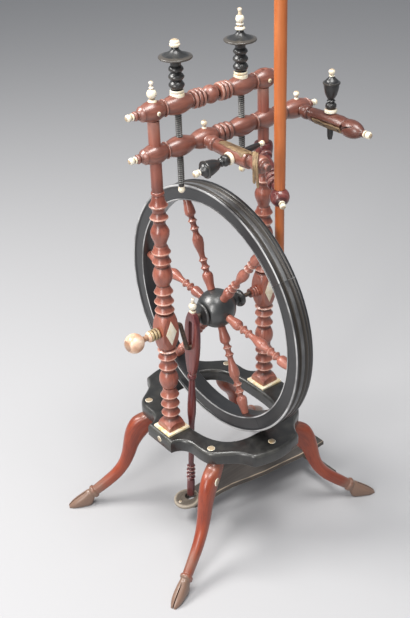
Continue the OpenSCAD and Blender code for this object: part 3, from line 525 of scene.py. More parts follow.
def wood(name, dark, middle, light, worn, soil_and_shade, gloss, rough, wear_and_highlight=0.6, dirt_and_shade=0.6, pores=0.25, streaks=0.25,
         shine=0.5):
    """Turned and polished wood: figure along the piece, pores, grooves darkened with soil and painted shade, and crests
    rubbed lighter with wear and a painted highlight.
    """
    finish, tree, bsdf = shader(name)
    grain = own(tree, "grain")
    crest = own(tree, "crest")
    figure = noise(tree, grain, (70, 70, 7), 5, 0.6, 0.6)
    streak = noise(tree, grain, (420, 420, 16), 3, 0.6)
    pore = noise(tree, grain, (1500, 1500, 60), 2, 0.5)
    cloud = noise(tree, grain, (28, 28, 22), 3, 0.5)
    colour = ramp(tree, figure, [(0.24, dark), (0.5, middle), (0.78, light)])
    colour = cover(tree, span(tree, streak, 0.42, 0.7, 0.0, streaks), colour, dark)
    colour = cover(tree, span(tree, pore, 0.58, 0.72, 0.0, pores), colour, soil_and_shade)
    colour = cover(tree, span(tree, cloud, 0.45, 0.75, 0.0, 0.35), colour, light)
    # Crests take the worn colour: rubbed wear and a painted highlight.
    rubbed_and_highlit = combine(tree, span(tree, crest, 0.22, 0.85, 0.0, wear_and_highlight), span(tree, cloud, 0.3, 0.62, 0.25, 1.0))
    rubbed_and_highlit = combine(tree, rubbed_and_highlit, span(tree, crest, 0.9, 0.99, 0.0, wear_and_highlight), "MAXIMUM")
    colour = cover(tree, rubbed_and_highlit, colour, worn)
    # Grooves take the soil colour: soil and painted shade, and are a little rougher.
    soiled_and_shaded = span(tree, crest, -0.06, -0.55, 0.0, dirt_and_shade)
    colour = cover(tree, soiled_and_shaded, colour, soil_and_shade)
    tree.links.new(colour, bsdf.inputs["Base Color"])
    tree.links.new(combine(tree, span(tree, figure, 0.3, 0.7, rough[0], rough[1]), combine(tree, soiled_and_shaded, 0.25), "ADD"),
                   bsdf.inputs["Roughness"])
    bsdf.inputs["Specular IOR Level"].default_value = shine
    bsdf.inputs["Coat Weight"].default_value = gloss
    bsdf.inputs["Coat Roughness"].default_value = 0.22
    relief(tree, bsdf, streak, 0.12, 0.0006)
    return finish


def bone(name, pale, cream, stain, soil_and_shade, stained=0.4):
    """Turned bone: creamy, yellowed in patches, brown in the grooves with soil and painted shade, with fine long pores.
    """
    finish, tree, bsdf = shader(name)
    grain = own(tree, "grain")
    crest = own(tree, "crest")
    patch = noise(tree, grain, (85, 85, 60), 4, 0.55, 0.4)
    vein = noise(tree, grain, (900, 900, 120), 2, 0.5)
    colour = ramp(tree, patch, [(0.3, pale), (0.55, cream), (0.8, stain)])
    colour = cover(tree, span(tree, patch, 0.5, 0.75, 0.0, stained), colour, stain)
    colour = cover(tree, span(tree, vein, 0.62, 0.75, 0.0, 0.35), colour, soil_and_shade)
    # Grooves darkened: soil and painted shade.
    colour = cover(tree, span(tree, crest, -0.05, -0.5, 0.0, 0.75), colour, soil_and_shade)
    tree.links.new(colour, bsdf.inputs["Base Color"])
    tree.links.new(span(tree, vein, 0.3, 0.75, 0.26, 0.45), bsdf.inputs["Roughness"])
    bsdf.inputs["Subsurface Weight"].default_value = 0.12
    bsdf.inputs["Subsurface Radius"].default_value = (0.003, 0.002, 0.001)
    bsdf.inputs["Coat Weight"].default_value = 0.2
    bsdf.inputs["Coat Roughness"].default_value = 0.2
    relief(tree, bsdf, vein, 0.08, 0.0003)
    return finish


def iron(name):
    """Forged iron with brown rust and rubbed grey."""
    finish, tree, bsdf = shader(name)
    grain = own(tree, "grain")
    rust = noise(tree, grain, (160, 160, 120), 6, 0.65, 0.3)
    pit = noise(tree, grain, (900, 900, 900), 3, 0.6)
    colour = ramp(tree, rust, [(0.35, (0.075, 0.066, 0.06)), (0.55, (0.14, 0.10, 0.075)),
                               (0.75, (0.21, 0.105, 0.06))])
    tree.links.new(colour, bsdf.inputs["Base Color"])
    tree.links.new(span(tree, rust, 0.35, 0.65, 0.85, 0.25), bsdf.inputs["Metallic"])
    tree.links.new(span(tree, pit, 0.3, 0.7, 0.38, 0.62), bsdf.inputs["Roughness"])
    relief(tree, bsdf, pit, 0.35, 0.0004)
    return finish


def hide(name):
    """Old tan leather, darker and cracked in places, pale along the cut edges, with near-black painted shade where
    holes would be.
    """
    finish, tree, bsdf = shader(name)
    grain = own(tree, "grain")
    crest = own(tree, "crest")
    patch = noise(tree, grain, (110, 110, 60), 5, 0.6, 0.5)
    pebble = noise(tree, grain, (1100, 1100, 900), 3, 0.6)
    crack = noise(tree, grain, (260, 260, 70), 4, 0.65, 1.2)
    colour = ramp(tree, patch, [(0.3, (0.075, 0.042, 0.020)), (0.5, (0.18, 0.115, 0.058)),
                                (0.75, (0.29, 0.195, 0.105))])
    colour = cover(tree, span(tree, crack, 0.56, 0.64, 0.0, 0.9), colour, (0.03, 0.014, 0.007))
    colour = cover(tree, span(tree, crest, 0.2, 0.7, 0.0, 0.4), colour, (0.38, 0.27, 0.15))
    # Near-black where the crest is very low: painted shade standing for a hole.
    colour = cover(tree, span(tree, crest, -0.3, -0.8, 0.0, 0.97), colour, (0.012, 0.007, 0.004))
    tree.links.new(colour, bsdf.inputs["Base Color"])
    tree.links.new(span(tree, pebble, 0.3, 0.7, 0.55, 0.75), bsdf.inputs["Roughness"])
    relief(tree, bsdf, combine(tree, pebble, crack, "ADD"), 0.4, 0.0008)
    return finish


# Woods: dark, middle and light figure, rubbed crests (wear and painted highlight) and soil (pores, groove soil and
# painted shade), then gloss, roughness, wear with highlight, dirt with shade, pores, streaks and shine. Bones: pale,
# cream, stain and soil (with painted shade in the grooves), then how far they are stained. Each has its material slot
# beside it.
FINISHES = {
    "mahogany": (wood("polished_mahogany", (0.115, 0.022, 0.012), (0.285, 0.074, 0.043), (0.42, 0.150, 0.095),
                      (0.62, 0.37, 0.29), (0.040, 0.009, 0.005), 0.35, (0.32, 0.45), 0.9, 0.7, 0.3, 0.3, 0.8),
                 "mahogany"),
    "bar": (wood("brown_mahogany", (0.090, 0.024, 0.015), (0.215, 0.068, 0.043), (0.32, 0.120, 0.080),
                 (0.46, 0.25, 0.19), (0.030, 0.010, 0.006), 0.4, (0.32, 0.46), 0.6, 0.6, 0.3, 0.4, 0.9), "mahogany"),
    "dark": (wood("smoked_mahogany", (0.045, 0.013, 0.009), (0.105, 0.032, 0.021), (0.165, 0.056, 0.037),
                  (0.33, 0.16, 0.115), (0.020, 0.007, 0.005), 0.45, (0.28, 0.42)), "mahogany"),
    "leg": (wood("bright_mahogany", (0.14, 0.018, 0.007), (0.265, 0.041, 0.014), (0.37, 0.076, 0.028),
                 (0.20, 0.125, 0.088), (0.022, 0.010, 0.007), 0.3, (0.30, 0.46), 0.95, 0.95, 0.4, 0.5), "mahogany"),
    "footman": (wood("plum_mahogany", (0.045, 0.008, 0.012), (0.14, 0.028, 0.029), (0.32, 0.095, 0.068),
                     (0.56, 0.36, 0.30), (0.022, 0.006, 0.005), 0.45, (0.26, 0.40), 0.95, 0.6, 0.3, 0.45),
                "mahogany"),
    "black": (wood("ebonised_wood", (0.010, 0.0103, 0.011), (0.017, 0.0174, 0.018), (0.029, 0.029, 0.029),
                   (0.12, 0.10, 0.08), (0.004, 0.004, 0.004), 0.45, (0.28, 0.42), 0.4, 0.5, 0.1), "ebonised"),
    # The rim's grey worn colour is a painted highlight line on its lips and rubbed wear on the tread ridges.
    "rim": (wood("ebonised_rim", (0.010, 0.0105, 0.012), (0.018, 0.0185, 0.0205), (0.031, 0.031, 0.032),
                 (0.50, 0.50, 0.50), (0.06, 0.045, 0.03), 0.3, (0.28, 0.40), 0.9, 0.6, 0.1, 0.3, 0.5), "ebonised"),
    "hub": (wood("rubbed_black_hub", (0.017, 0.018, 0.018), (0.027, 0.029, 0.029), (0.042, 0.044, 0.043),
                 (0.10, 0.09, 0.08), (0.006, 0.006, 0.006), 0.4, (0.30, 0.42), 0.3, 0.6, 0.1, 0.3, 0.9), "ebonised"),
    "spoke": (wood("faded_mahogany", (0.16, 0.040, 0.025), (0.36, 0.115, 0.078), (0.48, 0.205, 0.150),
                   (0.70, 0.47, 0.38), (0.045, 0.012, 0.007), 0.4, (0.28, 0.42), 0.9, 0.6, 0.3, 0.35), "mahogany"),
    "table": (wood("dusty_ebonised_wood", (0.010, 0.010, 0.010), (0.019, 0.0188, 0.018), (0.042, 0.040, 0.035),
                   (0.19, 0.185, 0.165), (0.007, 0.007, 0.006), 0.4, (0.30, 0.44), 0.6, 0.5, 0.1), "ebonised"),
    # The thread's pale crests and black roots are a painted highlight and painted shade, over some rubbed dust.
    "thread": (wood("thread_with_painted_highlight_and_shade", (0.010, 0.010, 0.010), (0.018, 0.018, 0.018), (0.03, 0.03, 0.03),
                    (0.36, 0.36, 0.34), (0.004, 0.004, 0.004), 0.3, (0.30, 0.42), 1.0, 0.9, 0.1), "ebonised"),
    "bone": (bone("bone", (0.87, 0.83, 0.73), (0.81, 0.73, 0.56), (0.67, 0.51, 0.28), (0.24, 0.15, 0.07)), "bone"),
    "plate": (bone("yellowed_bone", (0.88, 0.83, 0.70), (0.80, 0.66, 0.40), (0.62, 0.42, 0.14), (0.18, 0.10, 0.04),
                   0.7), "bone"),
    "ball": (bone("rosy_bone", (0.80, 0.64, 0.50), (0.66, 0.42, 0.29), (0.48, 0.26, 0.16), (0.22, 0.11, 0.06), 0.6),
             "bone"),
    "stained": (bone("smoked_bone", (0.52, 0.42, 0.25), (0.34, 0.25, 0.13), (0.17, 0.11, 0.055),
                     (0.05, 0.03, 0.015), 0.6), "bone"),
    "iron": (iron("rubbed_iron"), "iron"),
    "hide": (hide("tan_leather"), "hide"),
    "pole": (wood("orange_fruitwood", (0.30, 0.064, 0.015), (0.47, 0.126, 0.030), (0.56, 0.175, 0.050),
                  (0.62, 0.27, 0.10), (0.17, 0.04, 0.012), 0.25, (0.34, 0.46), 0.3, 0.5, 0.15, 0.15), "fruitwood"),
    "worn": (wood("worn_dark_wood", (0.030, 0.026, 0.023), (0.058, 0.050, 0.045), (0.10, 0.085, 0.072),
                  (0.48, 0.38, 0.28), (0.012, 0.01, 0.009), 0.1, (0.48, 0.64), 1.0, 0.4, 0.3, 0.4), "worn_wood"),
    "disc": (wood("dry_grey_wood", (0.12, 0.10, 0.078), (0.22, 0.185, 0.145), (0.33, 0.285, 0.225),
                  (0.46, 0.40, 0.32), (0.04, 0.03, 0.022), 0.05, (0.55, 0.7), 0.6, 0.6, 0.35, 0.4), "worn_wood"),
}


# Table: the flat top is bridged between two loops, then both edges are drawn over and down

def table():
    quarter = [(121, y) for y in (0, 6, 12, 18, 24, 28, 30)]
    for pull, count in ((((106, 32), (97, 42), (97, 58)), 14), (((97, 80), (96, 88), (84, 98)), 16),
                        (((68, 109), (53, 116), (45, 140)), 16), (((30, 146), (15, 149), (0, 149.5)), 10)):
        quarter += bend(quarter[-1], *pull, count)[1:]
    edge = [Vector(p) for p in quarter + [(-x, y) for x, y in quarter[-2::-1]] + [(-x, -y) for x, y in quarter[1:]]
            + [(x, -y) for x, y in quarter[-2:0:-1]]]
    opening = []
    for v in edge:
        a = math.atan2(v.y, v.x)
        r = (abs(math.cos(a) / OPENING[0]) ** 3 + abs(math.sin(a) / OPENING[1]) ** 3) ** (-1 / 3)
        opening.append(Vector((r * math.cos(a), r * math.sin(a))))
    out = [(v - w).normalized() for v, w in zip(edge, opening)]

    def ring(base, step, z):
        return [Vector((b.x + u.x * step, b.y + u.y * step, z)) * MM for b, u in zip(base, out)]

    def bridge(outer, inner):
        bmesh.ops.bridge_loops(bm, edges=loop_edges(bm, outer) + loop_edges(bm, inner))

    bm = bmesh.new()
    sides = ((edge, -1), (opening, 1))
    loops = [first_loop(bm, ring(base, sign * TABLE_ROUND, TABLE_TOP)) for base, sign in sides]
    bridge(*loops)
    arc = [math.radians(90 * i / 6) for i in range(1, 7)]
    down = [(TABLE_ROUND * (1 - math.sin(a)), TABLE_TOP - TABLE_ROUND * (1 - math.cos(a))) for a in arc]
    down += [(0, TABLE_LOW + 2.2), (0.7, TABLE_LOW + 0.7), (2.2, TABLE_LOW)]
    bridge(*[draw_out(bm, loop, [ring(base, sign * s, z) for s, z in down])
             for loop, (base, sign) in zip(loops, sides)])
    bmesh.ops.recalc_face_normals(bm, faces=bm.faces)

    def crest(v):
        z = v.co.z / MM
        if 0.25 < v.normal.z < 0.93 and z > TABLE_TOP - 8:
            return 0.45
        return 0.25 if z < TABLE_LOW + 3 else 0.1

    piece("scalloped_table", [mark(bm, HOME, crest, 0.3)], "table", "frame", "platform", sharp=50)


# Cabriole legs with hoofs

# Stations along a leg: distance out, height, slant, depth and width
LEG_STATIONS = [(-17, 177, 0, 26, 22), (-12, 166.5, 13, 31, 24), (-4, 159.2, 27, 36, 25), (4, 152, 34.5, 39, 25),
                (11.8, 143.5, 35.6, 37.8, 24.5), (19, 131.7, 29.6, 33.4, 23.5), (26, 114, 14, 26.5, 22),
                (32, 94, 19, 22.5, 20.5), (41, 74, 31, 20, 19), (55, 56, 46, 19.5, 17.5), (74, 40.5, 52, 19, 16.5),
                (90, 29, 55, 18, 15.5), (92.5, 27.4, 57, 18, 15.4), (94, 26.4, 58, 22, 18.8),
                (98, 23.6, 60, 22.4, 19.2), (100, 22, 62, 18.4, 15.6), (106, 13.6, 78, 30, 18), (114, 11.2, 90, 27, 19),
                (124, 8, 90, 20.5, 18.6), (133, 4.8, 90, 14, 15.5), (141, 1.4, 90, 6.4, 8)]
HOOF = 101


def leg_place(sx, sy):
    odd = sx > 0 and sy < 0
    place = shift(84 if odd else 88, 90, 0) @ turn_z(29 if odd else 24.8)
    if sy < 0:
        place = FLIP_Y @ place
    if sx < 0:
        place = FLIP_X @ place
    return place


def between_stations(rows, steps):
    """Fills in rows of numbers smoothly, each row a place along one line."""
    place = [0.0]
    for a, b in zip(rows, rows[1:]):
        place.append(place[-1] + math.hypot(b[0] - a[0], b[1] - a[1]))
    slope = []
    for i in range(len(rows)):
        a, b = max(0, i - 1), min(len(rows) - 1, i + 1)
        slope.append([(q - p) / (place[b] - place[a]) for p, q in zip(rows[a], rows[b])])
    filled = []
    for i in range(len(rows) - 1):
        gap = place[i + 1] - place[i]
        for t in (k / steps for k in range(steps)):
            row = [p * (1 + 2 * t) * (1 - t) ** 2 + m * gap * t * (1 - t) ** 2
                   + q * t * t * (3 - 2 * t) - n * gap * t * t * (1 - t)
                   for p, q, m, n in zip(rows[i], rows[i + 1], slope[i], slope[i + 1])]
            filled.append(row + [place[i] + gap * t])
    filled.append(list(rows[-1]) + [place[-1]])
    return filled


LEG_LINE = between_stations(LEG_STATIONS, 4)


def leg_ring(s, z, slant, deep, wide, count=28):
    ring = []
    a = math.radians(slant)
    for i in range(count):
        c, w = math.cos(2 * math.pi * i / count), math.sin(2 * math.pi * i / count)
        d = math.copysign(abs(c) ** 0.85, c) * deep / 2
        ring.append(Vector((s + d * math.cos(a), math.copysign(abs(w) ** 0.85, w) * wide / 2,
                            max(0, min(TABLE_LOW, z + d * math.sin(a))))) * MM)
    return ring


def leg_flow(co):
    """Grain that follows the bend of a leg."""
    s, z = co.x / MM, co.z / MM
    row = min(LEG_LINE, key=lambda r: (r[0] - s) ** 2 + (r[1] - z) ** 2)
    a = math.radians(row[2])
    across = (s - row[0]) * math.cos(a) + (z - row[1]) * math.sin(a)
    return Vector((co.y, across * MM, row[5] * MM))


def hoof_cleft():
    bm = slab([(106, 40), (150, 40), (150, -5), (122, -5)], -0.9, 0.9, 0)
    bmesh.ops.transform(bm, matrix=turn_x(90), verts=bm.verts)
    return bm


def leg(label, sx, sy):
    bm = carve(hoof_cleft)(skin([leg_ring(*row[:5]) for row in LEG_LINE]))

    def crest(v):
        s, z = v.co.x / MM, v.co.z / MM
        return 1.0 if s > HOOF else max(0.0, (s - 38) / 70, (z - 148) / 40)

    piece("hoofed_leg_" + label, [mark(bm, leg_place(sx, sy), crest, 0.11 * (sx + 2 * sy), leg_flow)], "leg", "frame",
          "leg_" + label, sharp=48)


# Uprights: turned stretches with a square foot and a square block at the axle

def saucers(base, *spans):
    """Saucers one above the other, each between two heights over the base."""
    return [point for z0, z1 in spans for point in saucer(base + z0, base + z1, NECK, RING - NECK)]


def upright(side, sx):
    def low(d):
        return FOOT + d

    def up(d):
        return BLOCK_TOP + d

    lower = ([(10, low(14)), (10, low(20))] + saucers(FOOT, (20.4, 35.6), (36.4, 52.4), (53.4, 69.6))
             + ease(low(70), NECK, low(74), 10.4, 4) + barrel(low(74.4), low(105), 9.6, RING + 0.2, 22, 0.8)
             + saucers(FOOT, (106, 122.5), (124, 139.6), (140, 147.6)) + [(NECK, low(149))])
    upper = ([(NECK, up(-1))] + saucers(BLOCK_TOP, (0, 14.2), (14.6, 29.6))
             + saucer(up(30.6), up(47), NECK - 0.4, RING - NECK) + barrel(up(48.6), up(79.6), 9.2, RING, 22, 0.8)
             + saucer(up(80.4), up(95.6), 10.4, RING - 11) + saucer(up(96.2), up(111), 10.2, RING - 10.8)
             + ease(up(113), 8.6, up(132), RING - 1, 12) + ease(up(134), RING - 1, up(148), 8.6, 10)
             + saucer(up(150), up(165), 8.8, RING - 10)
             + bend((9.2, up(166)), (9.8, up(171)), (RING - 2, up(172.6)), (RING - 1.2, up(174)))
             + bend((RING - 1.2, up(175.4)), (11.6, up(177)), (9.2, up(181)), (8.7, up(190)))
             + bead(up(190.5), up(196), SHAFT, 1.3)
             + [(SHAFT, up(197)), (SHAFT, TOP_BAR - 13), (6, TOP_BAR - 13), (6, TOP_BAR + 4)])
    foot = [(21.4, FOOT), (21.4, low(3))] + ease(low(3), 21.3, low(20), 10, 12) + [(10, low(21))]
    block = barrel(BLOCK_LOW - 0.5, BLOCK_TOP + 0.5, 12.2, BLOCK * 0.7072, 36, 0.7)
    tenon = [(9, TABLE_LOW + 3), (9, low(2))]
    place = shift(sx * UPRIGHT, 0, 0)
    seed = 0.4 * sx
    bodies = [lathe(outline, place, steps, cut, seed) for outline, steps, cut in (
        (foot, 96, slice_square(30)), (lower, 64, None), (block, 96, slice_square(BLOCK)), (upper, 64, None),
        (tenon, 40, None))]
    piece("turned_upright_" + side, bodies, "mahogany", "frame", "upright_" + side, sharp=38)


# Crossbars

def swelling(z0, z1):
    return barrel(z0, z1, 9.8, BAR + 0.5, 20, 0.95)


def bar_ring(z0, z1):
    return bead(z0, z1, 9.6, 2.6, 8)


def bar_side(s, u):
    """Half of the top bar, with a screw at s and an upright at u."""
    return (bead(s - 41.4, s - 36.2, 10, 3.2) + bead(s - 35.8, s - 29.2, 10, 3.6) + bead(s - 28.8, s - 23, 10, 3.2)
            + ease(s - 22.6, 8.8, s - 20.5, 10.5, 3) + swelling(s - 20, s + 21) + [(9.6, s + 22)]
            + bar_ring(s + 22.4, u - 16.2) + swelling(u - 15.8, u + 17) + ease(u + 17.5, 10.8, u + 25, 6.2, 8)
            + [(4.6, u + 26)] + bead(u + 26, u + 31, 4.6, 2, 8) + [(4.4, u + BAR_END)])


def top_bar():
    side = bar_side(SCREW_X, UPRIGHT)
    along = shift(0, 0, TOP_BAR) @ turn_y(90)
    holes = []
    for sx in (-1, 1):
        post = along.inverted() @ shift(sx * UPRIGHT, 0, TOP_BAR)
        screw = along.inverted() @ shift(sx * SCREW_X, 0, TOP_BAR)
        holes += [drill(SHAFT + 0.3, -30, -13, post), drill(2.6, 6, 26, post), drill(6.4, BAR - 1.4, 30, post),
                  drill(SCREW_R + SCREW_ROOM, -30, 30, screw), drill(COLLAR_R + 0.1, BAR - 3, 30, screw)]
    outline = flip(side) + ball(0, 13, -SCREW_X + 42.5, SCREW_X - 42.5) + side
    piece("top_bar", [lathe(outline, along, 64, carve(*holes), 0.9)], "bar", "frame", "top_crossbar")


def lower_bar():
    u, s, a, b = UPRIGHT, SCREW_X, ARM_LEFT, ARM_RIGHT
    outline = ([(4.4, -u - BAR_END)] + bead(-u - 31, -u - 26, 4.6, 2, 8) + ease(-u - 25, 6.2, -u - 17.5, 10.8, 8)
               + swelling(-u - 17, -u + 16) + bar_ring(-u + 16.4, -s - 22.4) + swelling(-s - 21, -s + 20)
               + [(9.6, -s + 21.5)] + swelling(-s + 23, a + 22) + [(9.6, a + 23)] + bead(a + 23.6, a + 31, 10, 3.4)
               + bead(a + 31.6, a + 39.6, 10, 3.6) + bead(a + 40.2, s - 22.4, 10, 3.2) + [(9.6, s - 21.6)]
               + swelling(s - 20, s + 21) + bar_ring(s + 22.4, u - 16.2) + swelling(u - 15.8, u + 21)
               + [(9.6, u + 22)] + bead(u + 22.6, u + 29.8, 10, 3) + bead(u + 30.2, u + 37.8, 10, 3.4)
               + [(9.6, b - 25.6)] + swelling(b - 24, b + 20) + ease(b + 20.5, 10.6, b + 24, 7, 5) + [(5, b + 25)]
               + bead(b + 25, b + 29, 4.8, 2, 8) + [(4.4, b + 29.6)])
    along = shift(0, 0, MOTHER) @ turn_y(90)
    back = along.inverted()
    holes = []
    for sx in (-1, 1):
        holes += [drill(SHAFT + SHAFT_ROOM, -30, 30, back @ shift(sx * u, 0, MOTHER)),
                  drill(SCREW_R + SCREW_ROOM, -30, 30, back @ shift(sx * s, 0, MOTHER))]
    for x in (a, b):
        holes.append(drill(9.4, 12, 40, back @ shift(x, 0, MOTHER) @ turn_x(90)))
    piece("lower_bar", [lathe(outline, along, 64, carve(*holes), 1.7)], "bar", "mother", "lower_crossbar")


# Bone turnings

def bone_tip(r, rb):
    return [(r, 0), (r + 0.2, 0.8), (r, 1.6), (rb * 0.55, 2.2)] + ball(2 + rb, rb, 2.8, 2 + 2 * rb)


def stud_outline(r, h):
    return [(r, 0), (r, h - 1.2), (r * 0.93, h - 0.75), (r * 0.8, h - 0.4), (r * 0.6, h - 0.16), (r * 0.4, h)]


def bone_turnings():
    spots = [(82, 82), (-82, 82), (82, -82), (-82, -82), (0, 129), (0, -129)]
    studs = [lathe(stud_outline(6.2, 5), shift(x, y, TABLE_TOP - 4), 32, None, 0.2 * k)
             for k, (x, y) in enumerate(spots)]
    studs += [lathe(stud_outline(5, 5), shift(sx * 117, 0, TABLE_TOP - 11) @ turn_y(sx * 90), 32, None, sx)
              for sx in (-1, 1)]
    studs.append(lathe(stud_outline(6.6, 5.6), leg_place(-1, -1) @ shift(8, 8, TABLE_LOW - 26) @ turn_x(-90), 36))
    piece("table_studs", studs, "bone", "frame", "bone_studs")

    plates = []
    for sx in (-1, 1):
        bm = slab([(-20, -20), (20, -20), (20, 20), (-20, 20)], 0, 4, 0.5, 2)
        plates.append(mark(bm, shift(sx * UPRIGHT, 0, TABLE_TOP), None, 0.5 * sx))
    piece("foot_plates", plates, "plate", "frame", "base_plates")

    lozenges = []
    for sx in (-1, 1):
        bm = slab([(0, 21), (9.6, 0), (0, -21), (-9.6, 0)], 0, 1.8, 0.25, 2)
        lozenges.append(mark(bm, shift(sx * UPRIGHT, -BLOCK / 2 - 0.3, AXLE) @ turn_x(-90), None, 0.8 * sx))
    piece("block_lozenges", lozenges, "bone", "frame", "diamond_inlays")

    tip = bone_tip(4.8, 4.9)
    piece("top_bar_tips", [lathe(tip, shift(sx * (UPRIGHT + BAR_END), 0, TOP_BAR) @ turn_y(sx * 90), 40, None, sx)
                           for sx in (-1, 1)], "bone", "frame", "top_crossbar_tips")
    finial = ([(2.5, -6), (2.5, 0), (6.2, 0), (6, 1.6), (4.4, 3.4), (3, 4.6)] + ball(11.2, 6.8, 5.4, 17.2)
              + [(2.8, 18.4), (3.4, 19.6), (2.4, 20.8), (1.8, 23)] + ball(25.8, 3.1, 24, 28.9, 10))
    piece("upright_top_finial", [lathe(finial, shift(-UPRIGHT, 0, TOP_BAR + BAR - 1.4), 40)], "bone", "frame",
          "upright_finial")
    pin = [(1.2, 0), (2.0, 0.3), (2.6, 0.7), (3, 1.6), (3, 2.1), (1.6, 2.1), (1.6, BAR + 8)]
    piece("tenon_pin_heads", [lathe(pin, shift(sx * UPRIGHT, -BAR - 2.2, TOP_BAR) @ turn_x(-90), 32, None, sx)
                              for sx in (-1, 1)], "bone", "frame", "tenon_pins")
    collar = [(COLLAR_R, 0), (COLLAR_R, 4.0), (COLLAR_R - 0.3, 4.6), (COLLAR_R - 1, 5), (COLLAR_R - 1, 6),
              (COLLAR_R - 0.4, 6.6), (COLLAR_R - 0.4, COLLAR_H - 0.6), (COLLAR_R - 1, COLLAR_H)]
    piece("screw_collar_pair", [lathe(collar, shift(sx * SCREW_X, 0, TOP_BAR + BAR - 3), 48,
                                      carve(drill(SCREW_R + SCREW_ROOM, -5, 20)), sx) for sx in (-1, 1)],
          "bone", "frame", "screw_collars")
    piece("lower_bar_tips", [lathe(tip, shift(-UPRIGHT - BAR_END, 0, MOTHER) @ turn_y(-90), 40),
                             lathe(tip, shift(ARM_RIGHT + 29.6, 0, MOTHER) @ turn_y(90), 40, None, 0.6)],
          "bone", "mother", "lower_crossbar_tips")
    lock = ([(2.4, 6.7), (2.4, BAR + 0.3), (3.5, BAR + 0.3), (3.3, BAR + 1.5), (2.4, BAR + 3)]
            + ball(BAR + 8.1, 4.4, BAR + 4.4, BAR + 12.5, 12))
    piece("lock_pin_pair", [lathe(lock, shift(x, 0, MOTHER), 36, None, x * 0.01)
                            for x in (ARM_LEFT + 3.5, ARM_RIGHT)], "bone", "mother", "arm_lock_pins")
    piece("arm_end_tip", [lathe(bone_tip(5, 5.2), shift(ARM_RIGHT, -140, MOTHER) @ turn_x(90), 40)], "bone",
          "arm_right", "arm_right_tip")


# Tension screws with a two-start thread

def threaded(place, z0, z1, root, crest_r, offset, per_turn=24):
    """A thread with two starts: one lead of its outline, with two teeth, is spun upwards."""
    shoulder = crest_r - 0.12
    tooth = [(root, 0.0), (root, 0.55), (shoulder, 1.25), (crest_r, 1.5), (shoulder, 1.75), (root, 2.45)]
    outline = tooth + [(r, z + SCREW_LEAD / 2) for r, z in tooth] + [(root, SCREW_LEAD)]
    turns = int((z1 - z0) / SCREW_LEAD)
    bm = bmesh.new()
    swing(bm, open_line(bm, [(r, z0 + z) for r, z in outline]), (0, 0, 1), 2 * math.pi * turns, per_turn * turns,
          SCREW_LEAD / per_turn * MM)
    merge(bm)
    mid = (root + crest_r) / 2

    # Crests get pale grey and roots near-black: dust with a painted highlight on the crests, painted shade in the
    # roots.
    def crest(v):
        return 0.9 if math.hypot(v.co.x, v.co.y) / MM > mid else -0.6

    return mark(bm, place, crest, offset)


def tension_screw(side, sx):
    def up(d):
        return KNOB + d

    core = SCREW_R - 0.9
    knob = ([(core, SCREW_LOW), (core, up(-16)), (SCREW_R, up(-16)), (SCREW_R, up(0.3)), (8.4, up(0.3))]
            + disc(up(1), up(12), 7.4, 3.4) + disc(up(12.4), up(22.8), 7.2, 3.6) + disc(up(23.2), up(33), 7, 3.2)
            + bend((7, up(33)), (8, up(41)), (12, up(42)), (SAUCER - 0.6, up(42.8)), 14)
            + [(SAUCER, up(43.6)), (SAUCER, up(44.6)), (SAUCER - 0.4, up(45.2))]
            + bend((SAUCER - 0.8, up(45.4)), (17, up(47.4)), (8, up(49)), (5, up(55)), 14) + [(4.8, up(58))])
    place = shift(sx * SCREW_X, 0, 0)
    body = "screw_" + side
    piece("tension_screw_" + side, [lathe(knob, place, 64, None, sx * 0.6)], "black", body, "screw_" + side)
    piece("screw_thread_" + side, [threaded(place, SCREW_LOW + 0.5, up(-19), SCREW_R - 1.2, SCREW_R - 0.02, sx)],
          "thread", body)
    end = [(4.4, 0), (4.4, 1)] + ball(5, 4.9, 2.6, 9.9, 10)
    if sx < 0:
        top = [(6.4, 0), (7.2, 1.6), (7.3, 2.5), (7.2, 3.4), (6.2, 4.6), (6.6, 6), (6.0, 7.4), (5, 8.6), (2.4, 10)]
    else:
        top = ([(6.6, 0), (7.2, 1.4), (6.6, 2.8), (4, 4), (3.4, 5.6)] + bead(6, 9, 3.6, 1.8, 8)
               + ball(14.4, 6, 10, 19.6) + [(2.6, 21.2), (2, 24)] + ball(26.6, 3, 25, 29.6, 10))
    piece("screw_bone_" + side, [lathe(end, place @ shift(0, 0, SCREW_LOW) @ FLIP_Z, 36, None, sx),
                                 lathe(top, place @ shift(0, 0, up(58)), 40, None, sx * 0.3)],
          "bone", body, "screw_%s_bone" % side)


# Arms with their leathers and pegs

ARM_STEM = ([(6, -6), (6, 12.3), (8.6, 12.3), (8.6, 15.5)] + bead(16.5, 29.5, 8, 2.6) + [(7.8, 31.5), (8.6, 33.5)]
            + ease(34.5, 10, 84, ARM_R, 14))
ARM_NOSE = [(4.6, 136)] + bead(136.4, 139.4, 4.6, 1, 6) + [(4.4, 140)]
ARM_OUTLINES = {
    "left": ARM_STEM + ease(90, ARM_R + 0.3, 103, ARM_R - 0.4, 6) + [(9.4, 104), (9.4, 112)]
    + barrel(113, 130, ARM_R - 3, ARM_R - 0.5, 14, 0.6) + ease(130.5, ARM_R - 4.6, 134, 5, 6) + ARM_NOSE,
    "right": ARM_STEM + ease(90, ARM_R + 0.2, 102, ARM_R - 0.8, 6)
    + bend((11.4, 103.6), (14, 108), (15.4, 124), (5.6, 134.4), 16) + ARM_NOSE}
LEFT_ARM = shift(ARM_LEFT, 0, MOTHER) @ turn_x(90) @ turn_z(96)
RIGHT_ARM = shift(ARM_RIGHT, 0, MOTHER) @ turn_x(90) @ turn_z(180) @ FLIP_Y
LEATHER = {"left": turn_z(-20), "right": turn_z(-35)}
FLAT_END = {"left": 109.4, "right": 106.2}


